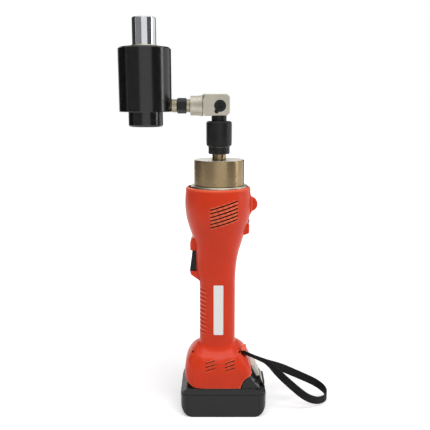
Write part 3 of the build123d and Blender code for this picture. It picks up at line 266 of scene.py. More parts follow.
def turned_metal(name, colour, rough, axis="Z", lines=900.0, depth=0.000012, tarnish=0.75):
    """Metal turned on a lathe: fine rings on its axis, tarnish in patches and bright edges."""
    finish = Finish(name)
    rings = finish.rings(axis, lines)
    patches = finish.patches(48.0, 5.0, 0.35, 0.68)
    body = finish.mixed(patches, linear(colour, tarnish), linear(colour))
    finish.colour(finish.mixed(finish.wear_and_highlight_edges(*EDGE_WEAR), body,
                               linear(colour, METAL_EDGE_GAIN)))
    finish.set(Metallic=1.0)
    finish.roughness(finish.ranged(rings, 0.3, 0.7, *rough))
    finish.bump(rings, depth)
    return finish.material


def pitted_plate(name, colour):
    """Plated steel of the pump collar, with stains and small dark pits."""
    finish = Finish(name)
    rings = finish.rings("Z", 700.0)
    stains = finish.patches(38.0, 5.0, 0.36, 0.66)
    pits = finish.pits(330.0)
    specks = finish.ranged(pits, 0.10, 0.26, 1.0, 0.0)
    rare = finish.patches(120.0, 2.0, 0.55, 0.63)
    body = finish.mixed(stains, linear(colour, 0.80), linear(colour))
    pitted = finish.math("MULTIPLY", specks, rare)
    finish.colour(finish.mixed(pitted, body, linear(colour, 0.34)))
    finish.set(Metallic=1.0)
    finish.roughness(finish.ranged(stains, 0.0, 1.0, 0.31, 0.24))
    finish.bump(finish.math("ADD", rings, finish.math("MULTIPLY", pits, 0.5)), 0.00002)
    return finish.material


def black_oxide(name, colour):
    """Oxide-blacked steel, satin, with bare metal showing along worn edges."""
    finish = Finish(name)
    patches = finish.patches(90.0, 5.0, 0.35, 0.7)
    body = finish.mixed(patches, linear(colour), linear(colour, 1.9))
    finish.colour(finish.mixed(finish.wear_and_highlight_edges(0.55, 0.68), body, linear(colour, 9.0)))
    finish.set(Metallic=0.55)
    finish.roughness(finish.ranged(patches, 0.0, 1.0, 0.36, 0.48))
    finish.bump(finish.noise(1500.0, 2.0), 0.00002)
    return finish.material


def lacquered(name, colour):
    """Glossy black coat on the ram's barrel, with faint drawn lines and dust."""
    finish = Finish(name)
    drawn = finish.noise(1.0, 3.0, finish.stretched((420.0, 420.0, 9.0)))
    dust = finish.patches(240.0, 4.0, 0.45, 0.75)
    body = finish.mixed(dust, linear(colour), linear(colour, 2.0))
    finish.colour(finish.mixed(finish.wear_and_highlight_edges(0.55, 0.66), body, linear(colour, 10.0)))
    finish.set(Metallic=0.35, Specular_IOR_Level=0.9)
    finish.roughness(finish.ranged(dust, 0.0, 1.0, 0.19, 0.27))
    finish.bump(drawn, 0.00001)
    return finish.material


def chromed(name, colour):
    """Hard chrome on the ram's rod: mirror bright, with faint smears."""
    finish = Finish(name)
    smears = finish.patches(55.0, 4.0, 0.35, 0.7)
    finish.colour(finish.mixed(smears, linear(colour, 0.90), linear(colour)))
    finish.set(Metallic=1.0)
    finish.roughness(finish.ranged(smears, 0.0, 1.0, 0.07, 0.11))
    return finish.material


def rubber(name, colour):
    """Dull moulded rubber with a faint bloom."""
    finish = Finish(name)
    bloom = finish.patches(130.0, 4.0, 0.35, 0.7)
    finish.colour(finish.mixed(bloom, linear(colour), linear(colour, 1.7)))
    finish.roughness(finish.ranged(bloom, 0.0, 1.0, 0.62, 0.78))
    finish.bump(finish.noise(1900.0, 2.0), GRAIN_DEPTH)
    return finish.material


def webbing(name, colour):
    """Woven webbing: ridges across the width, columns along it and a soft sheen."""
    finish = Finish(name)
    picks = finish.waves(finish.attribute("along"), WEAVE_PICK)
    columns = finish.waves(finish.attribute("across"), WEAVE_COLUMN)
    weave = finish.math("MULTIPLY", picks, columns)
    fuzz = finish.noise(1500.0, 3.0)
    lift = finish.ranged(finish.math("ADD", weave, fuzz), -0.6, 1.6)
    finish.colour(finish.mixed(lift, linear(colour, 0.45), linear(colour, 2.1)))
    finish.set(Sheen_Weight=0.06, Sheen_Roughness=0.5, Specular_IOR_Level=0.2)
    finish.roughness(finish.ranged(lift, 0.0, 1.0, 0.88, 0.66))
    finish.bump(finish.math("ADD", weave, finish.math("MULTIPLY", fuzz, 0.6)), 0.00022)
    return finish.material


def board(name):
    """Circuit board: green mask with paler tracks."""
    finish = Finish(name)
    tracks = finish.ranged(finish.pits(300.0), 0.25, 0.32)
    finish.colour(finish.mixed(tracks, BOARD_MASK, BOARD_TRACKS))
    finish.roughness(finish.ranged(tracks, 0.0, 1.0, 0.3, 0.45))
    finish.bump(tracks, GRAIN_DEPTH)
    return finish.material


def finish_table(look):
    """How each slot in the record is finished: the maker of its material and what it is given."""
    return {
        # The casing's pale peach edge colour is a painted highlight along the rim and round the
        # vents, in place of the lamps' highlight.
        "shell_orange": (moulded_plastic, dict(
            colour=look.casing, rough=(0.30, 0.40), gloss=0.22, edge=(0.97, 0.50, 0.36),
            wear_and_highlight_band=(0.512, 0.56))),
        "label_white": (moulded_plastic, dict(colour=look.plate, rough=(0.42, 0.5), shade=0.97)),
        "black_plastic": (moulded_plastic, dict(
            colour=look.control, rough=(0.34, 0.46), gloss=0.2, edge=(0.12, 0.12, 0.13))),
        "battery_charcoal": (moulded_plastic, dict(
            colour=look.battery, rough=(0.22, 0.30), grain=2200.0, gloss=0.28,
            edge=(0.15, 0.15, 0.155))),
        "latch_grey": (moulded_plastic, dict(colour=look.latch)),
        "lamp_grey": (moulded_plastic, dict(colour=(0.52, 0.50, 0.50), rough=(0.2, 0.3))),
        "cell_can": (moulded_plastic, dict(colour=(0.20, 0.36, 0.45), rough=(0.25, 0.35))),
        "plated_collar": (pitted_plate, dict(colour=look.collar)),
        "bright_steel": (turned_metal, dict(colour=(0.80, 0.78, 0.71), rough=(0.26, 0.38))),
        "zinc_yellow": (turned_metal, dict(colour=look.zinc, rough=(0.24, 0.38), axis="X")),
        "satin_nickel": (turned_metal, dict(
            colour=look.elbow, rough=(0.40, 0.50), axis="X", lines=260.0, depth=0.00001,
            tarnish=0.86)),
        "gear_steel": (turned_metal, dict(colour=(0.20, 0.20, 0.205), rough=(0.45, 0.6))),
        "pump_alloy": (turned_metal, dict(colour=(0.12, 0.12, 0.125), rough=(0.6, 0.7))),
        "copper_alloy": (turned_metal, dict(colour=(0.78, 0.56, 0.34), rough=(0.2, 0.34))),
        "black_oxide": (black_oxide, dict(colour=look.oxide)),
        "anodised_black": (lacquered, dict(colour=look.barrel)),
        "rod_chrome": (chromed, dict(colour=look.chrome)),
        "seal_rubber": (rubber, dict(colour=(0.07, 0.07, 0.075))),
        "strap_webbing": (webbing, dict(colour=look.webbing)),
        "board_green": (board, {}),
    }


MADE_FINISHES = {}


def material_of(slot):
    """The material of a slot in the record, made once."""
    if slot not in MADE_FINISHES:
        maker, given = finish_table(finishes())[slot]
        MADE_FINISHES[slot] = maker(slot, **given)
    return MADE_FINISHES[slot]


# Mesh helpers

MERGE_DISTANCE = 2e-6
SPIN_MERGE_DISTANCE = 1e-6
HAIR = 1e-6
# How far a cutting shape runs past what it cuts.
SPARE = 0.001
FLAT_ANGLE = math.radians(0.8)
EDGE_ANGLE = 28.0
OUTLINE_ANGLE = 10.0
CORNER_SEGMENTS = 10
# Angles up to which neighbouring faces are shaded as one: on most pieces, the casing's skin and
# pieces without corners.
SMOOTH_ANGLE, SKIN_SMOOTH_ANGLE, ROUND_SMOOTH_ANGLE = 32.0, 30.0, 60.0


def placed(name, data):
    """A new object in the scene."""
    thing = bpy.data.objects.new(name, data)
    bpy.context.scene.collection.objects.link(thing)
    return thing


def mesh_object(bm, name):
    """A new object in the scene from a mesh, which is used up."""
    mesh = bpy.data.meshes.new(name)
    bm.to_mesh(mesh)
    bm.free()
    return placed(name, mesh)


def evaluated_mesh(thing):
    """A new mesh of an object, with its modifiers or its spline worked out."""
    graph = bpy.context.evaluated_depsgraph_get()
    return bpy.data.meshes.new_from_object(thing.evaluated_get(graph))


def finished_piece(bm, name, body, slot, replaced=(), smooth_angle=SMOOTH_ANGLE, weighted=True):
    """Makes a piece of a mesh, with its body, its slot and the nodes that it stands for."""
    piece = mesh_object(bm, name)
    piece.data.materials.append(material_of(slot))
    piece.data.shade_smooth()
    piece.data.set_sharp_from_angle(angle=math.radians(smooth_angle))
    if weighted:
        piece.modifiers.new("flat_faces", "WEIGHTED_NORMAL").keep_sharp = True
    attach(piece, body)
    if replaced:
        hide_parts(*replaced)
    return piece


def softened_pieces(*rows):
    """Makes pieces of solids with softer edges, from node, name, body, slot and rounding."""
    for node, name, body, slot, width in rows:
        finished_piece(softened(node, width), name, body, slot, (node,))


def sharp_edges(bm, angle=EDGE_ANGLE):
    """Edges where two faces meet at more than an angle."""
    limit = math.radians(angle)
    return [edge for edge in bm.edges if edge.is_manifold and edge.calc_face_angle(0.0) > limit]


def bevelled(bm, edges, width, segments=2):
    """Rounds edges and keeps neighbouring rounds from crossing."""
    bmesh.ops.bevel(bm, geom=edges, offset=width, offset_type="OFFSET", segments=segments,
                    profile=0.5, affect="EDGES", clamp_overlap=True, material=-1)


def axis_matrix(axis, centre):
    """Stands a shape made along Z on another axis, at a centre."""
    turn = {"X": Matrix.Rotation(QUARTER_TURN, 4, "Y"), "Y": Matrix.Rotation(QUARTER_TURN, 4, "X"),
            "Z": Matrix.Identity(4)}[axis]
    return Matrix.Translation(Vector(centre)) @ turn


def turned(profile, axis="Z", centre=(0.0, 0.0, 0.0), closed=False, width=None, steps=None):
    """Spins a profile of radius and height round an axis and rounds its edges."""
    bm = bmesh.new()
    chain = [bm.verts.new((radius, 0.0, height)) for radius, height in profile]
    ends = chain[1:] + chain[:1] if closed else chain[1:]
    for start, end in zip(chain, ends):
        bm.edges.new((start, end))
    bmesh.ops.spin(bm, geom=bm.verts[:] + bm.edges[:], cent=(0.0, 0.0, 0.0), axis=(0.0, 0.0, 1.0),
                   angle=FULL_TURN, steps=steps or sizes().turning_steps, use_merge=True)
    bmesh.ops.remove_doubles(bm, verts=bm.verts, dist=SPIN_MERGE_DISTANCE)
    bmesh.ops.recalc_face_normals(bm, faces=bm.faces)
    edge_width = sizes().edge_round if width is None else width
    if edge_width > 0:
        bevelled(bm, sharp_edges(bm), edge_width)
    bmesh.ops.transform(bm, matrix=axis_matrix(axis, centre), verts=bm.verts)
    return bm


def drill(radius, length, axis, place, steps):
    """A plain rod that is cut out of a piece, from a place along an axis."""
    profile = [(0.0, 0.0), (radius, 0.0), (radius, length), (0.0, length)]
    return turned(profile, axis, place, width=0.0, steps=steps)


def block(low, high):
    """A box between two corners."""
    bm = bmesh.new()
    low, high = Vector(low), Vector(high)
    bmesh.ops.create_cube(bm, size=1.0)
    bmesh.ops.scale(bm, vec=high - low, verts=bm.verts)
    bmesh.ops.translate(bm, vec=(low + high) / 2, verts=bm.verts)
    return bm


def drawn_out(bm, faces, travel):
    """Extrudes faces along a vector."""
    made = bmesh.ops.extrude_face_region(bm, geom=faces)["geom"]
    moving = [item for item in made if isinstance(item, bmesh.types.BMVert)]
    bmesh.ops.translate(bm, vec=travel, verts=moving)


def scaled(outline):
    """An outline in millimetres, brought to metres."""
    return [(across * MM, up * MM) for across, up in outline]


def prism(outline, low, high, plane="XZ"):
    """Extrudes a flat outline, given in two axes, between two places on the third."""
    bm = bmesh.new()
    if plane == "XZ":
        corners = [(across, low, up) for across, up in outline]
        travel = (0.0, high - low, 0.0)
    else:
        corners = [(low, across, up) for across, up in outline]
        travel = (high - low, 0.0, 0.0)
    drawn_out(bm, [bm.faces.new([bm.verts.new(corner) for corner in corners])], travel)
    bmesh.ops.recalc_face_normals(bm, faces=bm.faces)
    return bm


def rounded_prism(outline, low, high, width, segments=2, plane="XZ"):
    """A prism with all its edges rounded."""
    bm = prism(outline, low, high, plane)
    bevelled(bm, sharp_edges(bm, OUTLINE_ANGLE), width, segments)
    return bm


def rounded_block(low, high, axis, radius, lowest=False):
    """A box with its edges along one axis rounded, all four or only the lower two."""
    bm = block(low, high)
    picked = []
    for edge in bm.edges:
        start, end = (vertex.co for vertex in edge.verts)
        too_high = (start.z + end.z) / 2 > (low[2] + high[2]) / 2
        if abs(end[axis] - start[axis]) > HAIR and not (lowest and too_high):
            picked.append(edge)
    bevelled(bm, picked, radius, CORNER_SEGMENTS)
    return bm


def solid_copy(node):
    """A copy of a solid's mesh with its triangles joined."""
    bm = bmesh.new()
    bm.from_mesh(frame["nodes"][node].data)
    bmesh.ops.remove_doubles(bm, verts=bm.verts, dist=MERGE_DISTANCE)
    return bm


def softened(node, width, segments=2):
    """A copy of a solid with its edges rounded."""
    bm = solid_copy(node)
    bmesh.ops.dissolve_limit(bm, angle_limit=FLAT_ANGLE, verts=bm.verts, edges=bm.edges)
    bevelled(bm, sharp_edges(bm), width, segments)
    return bm


def carved(bm, cutter, operation="DIFFERENCE"):
    """The mesh after a boolean with another one. Both are used up."""
    kept, tool = mesh_object(bm, "carved"), mesh_object(cutter, "cutter")
    modifier = kept.modifiers.new("carve", "BOOLEAN")
    modifier.object = tool
    modifier.operation = operation
    modifier.solver = "MANIFOLD"
    carving = evaluated_mesh(kept)
    result = bmesh.new()
    result.from_mesh(carving)
    bpy.data.meshes.remove(carving)
    for thing in (kept, tool):
        mesh = thing.data
        bpy.data.objects.remove(thing)
        bpy.data.meshes.remove(mesh)
    return result


def next_ring(bm, ring, points, capped=False):
    """The next loop of a tube, at the given points: a new circle first, then an extrusion."""
    if ring is None:
        following = bmesh.ops.create_circle(
            bm, segments=len(points), radius=MM, cap_ends=capped)["verts"]
    else:
        members = set(ring)
        edges = dict.fromkeys(edge for vertex in ring for edge in vertex.link_edges
                              if edge.other_vert(vertex) in members)
        made = bmesh.ops.extrude_edge_only(bm, edges=list(edges))["geom"]
        fresh = {item for item in made if isinstance(item, bmesh.types.BMVert)}
        following = [next(edge.other_vert(vertex) for edge in vertex.link_edges
                          if edge.other_vert(vertex) in fresh) for vertex in ring]
    for vertex, point in zip(following, points):
        vertex.co = point
    return following


def blended(stations, height):
    """Values between stations, on a curve that never overshoots them."""
    index = 0
    while index < len(stations) - 2 and height > stations[index + 1][0]:
        index += 1
    low, high = stations[index], stations[index + 1]
    span = high[0] - low[0]
    share = min(1.0, max(0.0, (height - low[0]) / span))

    def tangent(place, column):
        if place in (0, len(stations) - 1):
            return 0.0
        before, here, after = stations[place - 1:place + 2]
        left = (here[column] - before[column]) / (here[0] - before[0])
        right = (after[column] - here[column]) / (after[0] - here[0])
        return 0.0 if left * right <= 0 else 2 * left * right / (left + right)

    values = []
    for column in range(1, len(low)):
        first, last = low[column], high[column]
        start, end = tangent(index, column) * span, tangent(index + 1, column) * span
        s, s2, s3 = share, share ** 2, share ** 3
        values.append(first * (2 * s3 - 3 * s2 + 1) + start * (s3 - 2 * s2 + s)
                      + last * (3 * s2 - 2 * s3) + end * (s3 - s2))
    return values


def smooth_step(value, low, high):
    """Rises from 0 to 1 between two values."""
    share = min(1.0, max(0.0, (value - low) / (high - low)))
    return share * share * (3 - 2 * share)


# Casing, in millimetres except where a comment says metres

# Outline: height, left edge, right edge, half depth, and squareness on the left and on the right.
HEAD_AXIS_X = -1.2
HEAD_RADII = ((245.0, 37.0), (260.0, 40.5), (273.0, 41.5), (284.0, 41.1), (290.4, 40.6))
CASING_STATIONS = (
    (38.4, -44.8, 44.0, 36.0, 4.0, 9.0), (52.8, -44.6, 43.8, 36.0, 4.0, 9.0),
    (60.0, -43.8, 42.2, 35.9, 3.8, 7.4), (68.5, -42.2, 39.6, 35.0, 3.4, 4.6),
    (74.2, -39.8, 36.8, 33.6, 3.1, 3.5), (79.8, -36.4, 33.6, 31.0, 2.9, 3.0),
    (85.2, -31.4, 28.4, 26.4, 2.7, 2.7), (88.3, -28.0, 25.0, 23.2, 2.6, 2.6),
    (90.6, -25.7, 22.0, 20.6, 2.6, 2.6), (92.4, -25.0, 21.0, 19.5, 2.6, 2.6),
    (100.0, -25.0, 21.0, 19.5, 2.6, 2.6), (135.0, -25.0, 21.0, 19.5, 2.6, 2.6),
    (170.0, -25.0, 21.0, 19.6, 2.6, 2.6), (178.0, -26.8, 21.2, 20.2, 2.6, 2.5),
    (185.0, -29.3, 21.6, 20.9, 2.7, 2.5), (199.0, -29.6, 23.0, 23.6, 2.7, 2.4),
    (213.0, -29.8, 25.8, 26.9, 2.5, 2.3), (222.0, -31.2, 28.5, 29.4, 2.3, 2.2),
    (231.0, -33.6, 31.1, 32.4, 2.1, 2.1),
) + tuple((z, HEAD_AXIS_X - r, HEAD_AXIS_X + r, r, 2.0, 2.0) for z, r in HEAD_RADII)
SQUARENESS_BLEND = (-0.3, 0.3)

# Rings of the skin: how many points in each, and how far apart they are on each stretch.
CASING_AROUND = 168
FOOT_RING_STEP, RIB_RING_STEP, HEAD_RING_STEP = 1.0, 0.8, 2.0
CASING_FOOT = 38.4
# The lower edge's rings: how much wider than the foot each one is, and how far up.
FOOT_LIP = ((-0.9, 0.0), (-0.25, 0.3), (0.0, 0.9))
RIM_TOP, RIM_ROLL, RIM_STEPS = 294.7, 3.0, 5

# Ribs on the front of the grip: where they are, how they fade out, lean and are rounded.
GRIP_RIBS = (104.0, 168.0)
RIB_FADE, RIB_MARGIN = 3, 2
RIB_FRONT = (0.42, 0.76)
RIB_LEAN, RIB_ROUNDNESS = 0.16, 0.6

# The hollow where the grip runs down between the foot's lobes, and the flats round its vents.
GRIP_MIDDLE, GRIP_HALF, GRIP_DEPTH, GRIP_SQUARENESS = -2.0, 23.0, 19.5, 2.6
FOOT_TOP, FOOT_FACING = 95.0, (0.55, 0.95)
HOLLOW_TOP, HOLLOW_WIDTH, HOLLOW_HEIGHT, HOLLOW_FADE = 93.0, 20.0, 12.5, (0.20, 1.70)
FOOT_VENTS_X, FOOT_VENTS_Z = (-11.0, 13.8), 68.4
FLAT_WIDTH, FLAT_HEIGHT, FLAT_DEPTH, FLAT_FADE = 13.0, 10.0, 1.1, (0.35, 1.0)

# Groups of slanted vents: middle, rows, their spacing, and a slot's length and width.
VENTS = ((6.0, 264.9, 6, 4.5, 35.5, 1.9),) + tuple(
    (x, FOOT_VENTS_Z, 3, 4.6, 13.4, 1.8) for x in FOOT_VENTS_X)
VENT_TILT = math.radians(17.0)
VENT_END_SEGMENTS = 16

# What is cut away from the foot for the battery, seen from the front.
FOOT_BELOW, HEEL_BEYOND = 36.0, -46.0
HEEL_CENTRE, HEEL_RADIUS, HEEL_STEPS = (-26.0, 57.4), 19.0, 12
LATCH_CUT = (
    (27.2, 36.0), (27.2, 38.4), (28.0, 41.6), (29.4, 45.0), (31.2, 48.6), (33.3, 51.4),
    (35.8, 53.2), (38.5, 54.4), (41.0, 55.8), (43.2, 58.0), (50.0, 60.0), (60.0, 36.0))

# Openings, in metres.
VENT_REACH, FOOT_CUT_HALF = (0.060, 0.016), 0.05
LATCH_ROOM = ((0.0250, -0.0274, 0.030), (0.060, 0.0274, 0.0606))
RELEASE_SLOT = ((0.030, -0.0051, 0.2625), (0.050, 0.0051, 0.2823))
STRAP_SLOT = ((0.0285, -0.0222, 0.0745), (0.0450, -0.0158, 0.0845))
TRIGGER_SLOT_X, TRIGGER_SLOT_HALF, TRIGGER_PLAY = (-0.045, -0.0150), 0.0090, 0.0004
DRILL_LENGTH = 0.03
LAMP_HOLE, LAMP_HOLE_STEPS = 0.0026, 24
FOOT_RECESS_Y, FAR_RECESS_Y = -0.0124, 0.0430
FOOT_SCREW_SEAT, FOOT_SCREW_REACH, FOOT_SCREW_SINK = -0.0129, 0.004, 0.0030

# Screws: where they are, and the radius of their recesses.
FOOT_SCREWS, FOOT_RECESS = ((-33.5, 79.9), (26.5, 81.4)), 1.6
FAR_SCREWS, FAR_RECESS = ((11.0, 183.9), (9.0, 125.4), (-13.0, 150.4)), 3.3
RECESS_STEPS = 28

# Shapes that stand out of the casing: outline from the front, half depth and rounding. They are
# the lips above and below the trigger, the wedge under the lamp and the release button's collar.
BOSSES = (
    (((-24.0, 214.0), (-36.4, 214.0), (-36.5, 218.0), (-36.5, 224.6), (-35.8, 227.2),
      (-34.2, 229.2), (-31.0, 231.4), (-24.0, 232.0)), 11.0, 1.8),
    (((-22.0, 187.0), (-36.5, 187.0), (-36.6, 184.2), (-35.6, 182.0), (-31.0, 178.8),
      (-25.0, 174.4), (-22.0, 172.6)), 11.0, 1.6),
    (((20.0, 247.6), (38.3, 247.6), (38.4, 244.0), (38.3, 236.0), (30.5, 233.0),
      (21.5, 229.6)), 9.5, 1.2),
    (((30.0, 284.4), (39.0, 284.2), (40.6, 282.6), (41.7, 281.2), (41.7, 263.6), (40.3, 261.4),
      (38.8, 258.6), (30.0, 257.6)), 6.6, 1.0),
)
BOSS_SEGMENTS = 4

# The bridge on the foot's shoulder: outline from the side, and its ends and rounding in metres.
HOOK_OUTLINE = ((-12.0, 89.4), (-21.6, 89.2), (-23.9, 87.6), (-24.2, 85.2), (-22.7, 84.8),
                (-22.3, 86.6), (-20.4, 87.4), (-12.0, 85.6))
HOOK_X, HOOK_ROUND, HOOK_SEGMENTS = (0.0288, 0.0352), 0.0005, 3
SPLIT_TOLERANCE = 1e-7


def column_depth(x):
    """Half depth of the grip where it runs down into the foot."""
    reach = abs(x - GRIP_MIDDLE) / GRIP_HALF
    if reach >= 1:
        return 0.0
    return GRIP_DEPTH * (1 - reach ** GRIP_SQUARENESS) ** (1 / GRIP_SQUARENESS)


def foot_depth(x, y, height, facing):
    """Half depth of the foot, drawn in where the grip runs down and round the vents."""
    column = column_depth(x)
    if y > column:
        away = math.hypot((x - GRIP_MIDDLE) / HOLLOW_WIDTH, (HOLLOW_TOP - height) / HOLLOW_HEIGHT)
        y = column + (y - column) * smooth_step(away, *HOLLOW_FADE)
    for middle in FOOT_VENTS_X:
        away = math.hypot((x - middle) / FLAT_WIDTH, (height - FOOT_VENTS_Z) / FLAT_HEIGHT)
        y -= facing * FLAT_DEPTH * (1 - smooth_step(away, *FLAT_FADE))
    return y


def casing_ring(height, grow=0.0):
    """Points round the casing at a height, in metres."""
    left, right, depth, square_left, square_right = blended(CASING_STATIONS, height)
    centre, half = (left + right) / 2, (right - left) / 2 + grow
    depth = depth + grow
    rib_low, rib_high = GRIP_RIBS
    in_ribs = (smooth_step(height, rib_low, rib_low + RIB_FADE)
               * (1 - smooth_step(height, rib_high - RIB_FADE, rib_high)))
    pitch, rib = sizes().rib_pitch / MM, sizes().rib_height / MM
    points = []
    for index in range(CASING_AROUND):
        angle = FULL_TURN * index / CASING_AROUND
        run, rise = math.cos(angle), math.sin(angle)
        squareness = square_left + (square_right - square_left) * smooth_step(
            run, *SQUARENESS_BLEND)
        reach = (abs(run / half) ** squareness
                 + abs(rise / depth) ** squareness) ** (-1 / squareness)
        x, y = reach * run, reach * rise
        front = in_ribs * smooth_step(-x / half, *RIB_FRONT)
        wave = 0.5 - 0.5 * math.cos(FULL_TURN * (height - rib_low + RIB_LEAN * x) / pitch)
        shrink = 1 - rib * front * (1 - wave ** RIB_ROUNDNESS) / reach
        x, y = centre + x * shrink, y * shrink
        if height < FOOT_TOP:
            facing = smooth_step(abs(y) / depth, *FOOT_FACING)
            y = math.copysign(foot_depth(x, abs(y), height, facing), y)
        points.append(Vector((x, y, height)) * MM)
    return points


def casing_heights():
    """Heights of the casing's rings, closer together in the ribs and on the foot."""
    heights, height = [], CASING_FOOT
    while height < RIM_TOP - RIM_ROLL:
        heights.append(height)
        if GRIP_RIBS[0] - RIB_MARGIN < height < GRIP_RIBS[1] + RIB_MARGIN:
            height += RIB_RING_STEP
        else:
            height += FOOT_RING_STEP if height < GRIP_RIBS[0] else HEAD_RING_STEP
    return heights


def casing_skin():
    """The casing's outer skin as one tube, rolled in at the rim and the foot."""
    rings = [[point + Vector((0.0, 0.0, rise * MM)) for point in casing_ring(CASING_FOOT, grow)]
             for grow, rise in FOOT_LIP]
    rings += [casing_ring(height) for height in casing_heights()[1:]]
    for step in range(RIM_STEPS + 1):
        turn = QUARTER_TURN * step / RIM_STEPS
        lift = RIM_TOP - RIM_ROLL + RIM_ROLL * math.sin(turn)
        points = casing_ring(RIM_TOP - RIM_ROLL, -RIM_ROLL * (1 - math.cos(turn)))
        rings.append([Vector((point.x, point.y, lift * MM)) for point in points])
    bm = bmesh.new()
    ring = None
    for points in rings:
        ring = next_ring(bm, ring, points)
    bmesh.ops.recalc_face_normals(bm, faces=bm.faces)
    return bm


def slot_cutter(centre, length, width, depth):
    """A slanted slot with round ends, cut into the casing's near or far side."""
    bm = bmesh.new()
    ends = bmesh.ops.create_circle(
        bm, segments=VENT_END_SEGMENTS, radius=width / 2, cap_ends=True)["verts"]
    for vertex in ends:
        vertex.co.x += math.copysign((length - width) / 2, vertex.co.x)
    low, high = depth
    drawn_out(bm, bm.faces[:], (0, 0, high - low))
    matrix = (Matrix.Translation((centre[0], low, centre[1]))
              @ Matrix.Rotation(-VENT_TILT, 4, "Y") @ Matrix.Rotation(-QUARTER_TURN, 4, "X"))
    bmesh.ops.transform(bm, matrix=matrix, verts=bm.verts)
    bmesh.ops.recalc_face_normals(bm, faces=bm.faces)
    return bm


def battery_cuts():
    """What is cut away from the foot for the battery's heel and its latch end."""
    across, up = HEEL_CENTRE
    heel = [(HEEL_BEYOND, FOOT_BELOW)]
    for step in range(HEEL_STEPS + 1):
        turn = math.pi + QUARTER_TURN * step / HEEL_STEPS
        heel.append((across + HEEL_RADIUS * math.cos(turn), up + HEEL_RADIUS * math.sin(turn)))
    heel.append((across, FOOT_BELOW))
    return [prism(scaled(outline), -FOOT_CUT_HALF, FOOT_CUT_HALF) for outline in (heel, LATCH_CUT)]


def casing_cuts(side):
    """Everything that is cut out of one half of the casing."""
    depth = sorted(side * reach for reach in VENT_REACH)
    cuts = []
    for x, z, rows, pitch, length, width in VENTS:
        for row in range(rows):
            height = z + (row - (rows - 1) / 2) * pitch
            cuts.append(slot_cutter((x * MM, height * MM), length * MM, width * MM, depth))
    cuts += battery_cuts()
    cuts.append(block(*LATCH_ROOM))
    low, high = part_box("trigger")
    cuts.append(block((TRIGGER_SLOT_X[0], -TRIGGER_SLOT_HALF, low.z - TRIGGER_PLAY),
                      (TRIGGER_SLOT_X[1], TRIGGER_SLOT_HALF, high.z + TRIGGER_PLAY)))
    cuts.append(block(*RELEASE_SLOT))
    low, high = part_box("status_led")
    cuts.append(drill(LAMP_HOLE, DRILL_LENGTH, "X", (low.x, 0.0, (low.z + high.z) / 2),
                      LAMP_HOLE_STEPS))
    screws, recess, seat = FAR_SCREWS, FAR_RECESS, FAR_RECESS_Y
    if side < 0:
        cuts.append(block(*STRAP_SLOT))
        screws, recess, seat = FOOT_SCREWS, FOOT_RECESS, FOOT_RECESS_Y
    cuts += [drill(recess * MM, DRILL_LENGTH, "Y", (x * MM, seat, z * MM), RECESS_STEPS)
             for x, z in screws]
    return cuts


def casing_bosses():
    """Lips round the trigger, the wedge under the lamp and the release button's collar."""
    return [rounded_prism(scaled(outline), -half * MM, half * MM, width * MM, BOSS_SEGMENTS)
            for outline, half, width in BOSSES]


def strap_hook():
    """The bridge on the foot's shoulder that the strap passes under."""
    return rounded_prism(scaled(HOOK_OUTLINE), *HOOK_X, HOOK_ROUND, HOOK_SEGMENTS, "YZ")


def halved(bm, side):
    """Keeps one side of the casing's split plane, short of it by the seam's gap."""
    bmesh.ops.bisect_plane(bm, geom=bm.verts[:] + bm.edges[:] + bm.faces[:], dist=SPLIT_TOLERANCE,
                           plane_co=(0.0, side * sizes().seam_gap, 0.0),
                           plane_no=(0.0, -side, 0.0), clear_outer=True)


class PUNCH_OT_casing(bpy.types.Operator):
    """Makes the two halves of the orange casing, with vents, ribs, lips and the battery foot"""
    bl_idname = "punch.casing"
    bl_label = "Casing"

    def execute(self, context):
        for side, name, node in ((-1, "casing_near", "near_shell"), (1, "casing_far", "far_shell")):
            half = casing_skin()
            halved(half, side)
            bmesh.ops.solidify(half, geom=half.faces[:], thickness=sizes().casing_wall)
            bmesh.ops.recalc_face_normals(half, faces=half.faces)
            for boss in casing_bosses():
                halved(boss, side)
                rim = [edge for edge in boss.edges if edge.is_boundary]
                bmesh.ops.holes_fill(boss, edges=rim, sides=0)
                bmesh.ops.recalc_face_normals(boss, faces=boss.faces)
                half = carved(half, boss, "UNION")
            for cut in casing_cuts(side):
                half = carved(half, cut)
            if side < 0:
                half = carved(half, strap_hook(), "UNION")
            bmesh.ops.remove_doubles(half, verts=half.verts, dist=MERGE_DISTANCE)
            finished_piece(half, name, "tool_body", "shell_orange", (node,), SKIN_SMOOTH_ANGLE,
                           weighted=False)
        return {"FINISHED"}


# Controls

PLATE_CORNER, PLATE_SEGMENTS = 0.0012, 4


class PUNCH_OT_controls(bpy.types.Operator):
    """Makes the trigger, release button, lamp, plate and casing screws"""
    bl_idname = "punch.controls"
    bl_label = "Controls"

    def execute(self, context):
        softened_pieces(
            ("trigger", "trigger_blade", "trigger", "black_plastic", 0.0006),
            ("release_button", "release_tab", "release_button", "shell_orange", 0.0008),
            ("status_led", "lamp_lens", "tool_body", "lamp_grey", 0.0003))
        plate = block(*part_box("label_plate"))
        corners = [edge for edge in plate.edges
                   if abs((edge.verts[0].co - edge.verts[1].co).y) > HAIR]
        bevelled(plate, corners, PLATE_CORNER, PLATE_SEGMENTS)
        finished_piece(plate, "grip_plate", "tool_body", "label_white", ("label_plate",))
        finished_piece(self.screws(), "casing_screws", "tool_body", "bright_steel",
                       ("shell_screws",))
        return {"FINISHED"}

    def screws(self):
        """The casing's screws, with the foot's heads sunk and narrowed to fit its skin."""
        screws = softened("shell_screws", width=0.0002)
        for vertex in screws.verts:
            for x, z in FOOT_SCREWS:
                away = Vector((vertex.co.x - x * MM, 0.0, vertex.co.z - z * MM))
                if vertex.co.y < FOOT_SCREW_SEAT and away.length < FOOT_SCREW_REACH:
                    vertex.co += Vector((0.0, FOOT_SCREW_SINK, 0.0)) - away / 2
        return screws


# Pump collar and quick coupler

FLANGE_BORE, FLANGE_CHAMFER = 0.020, 0.0012
COLLAR_BORE, COLLAR_CHAMFER = 0.009, 0.0007
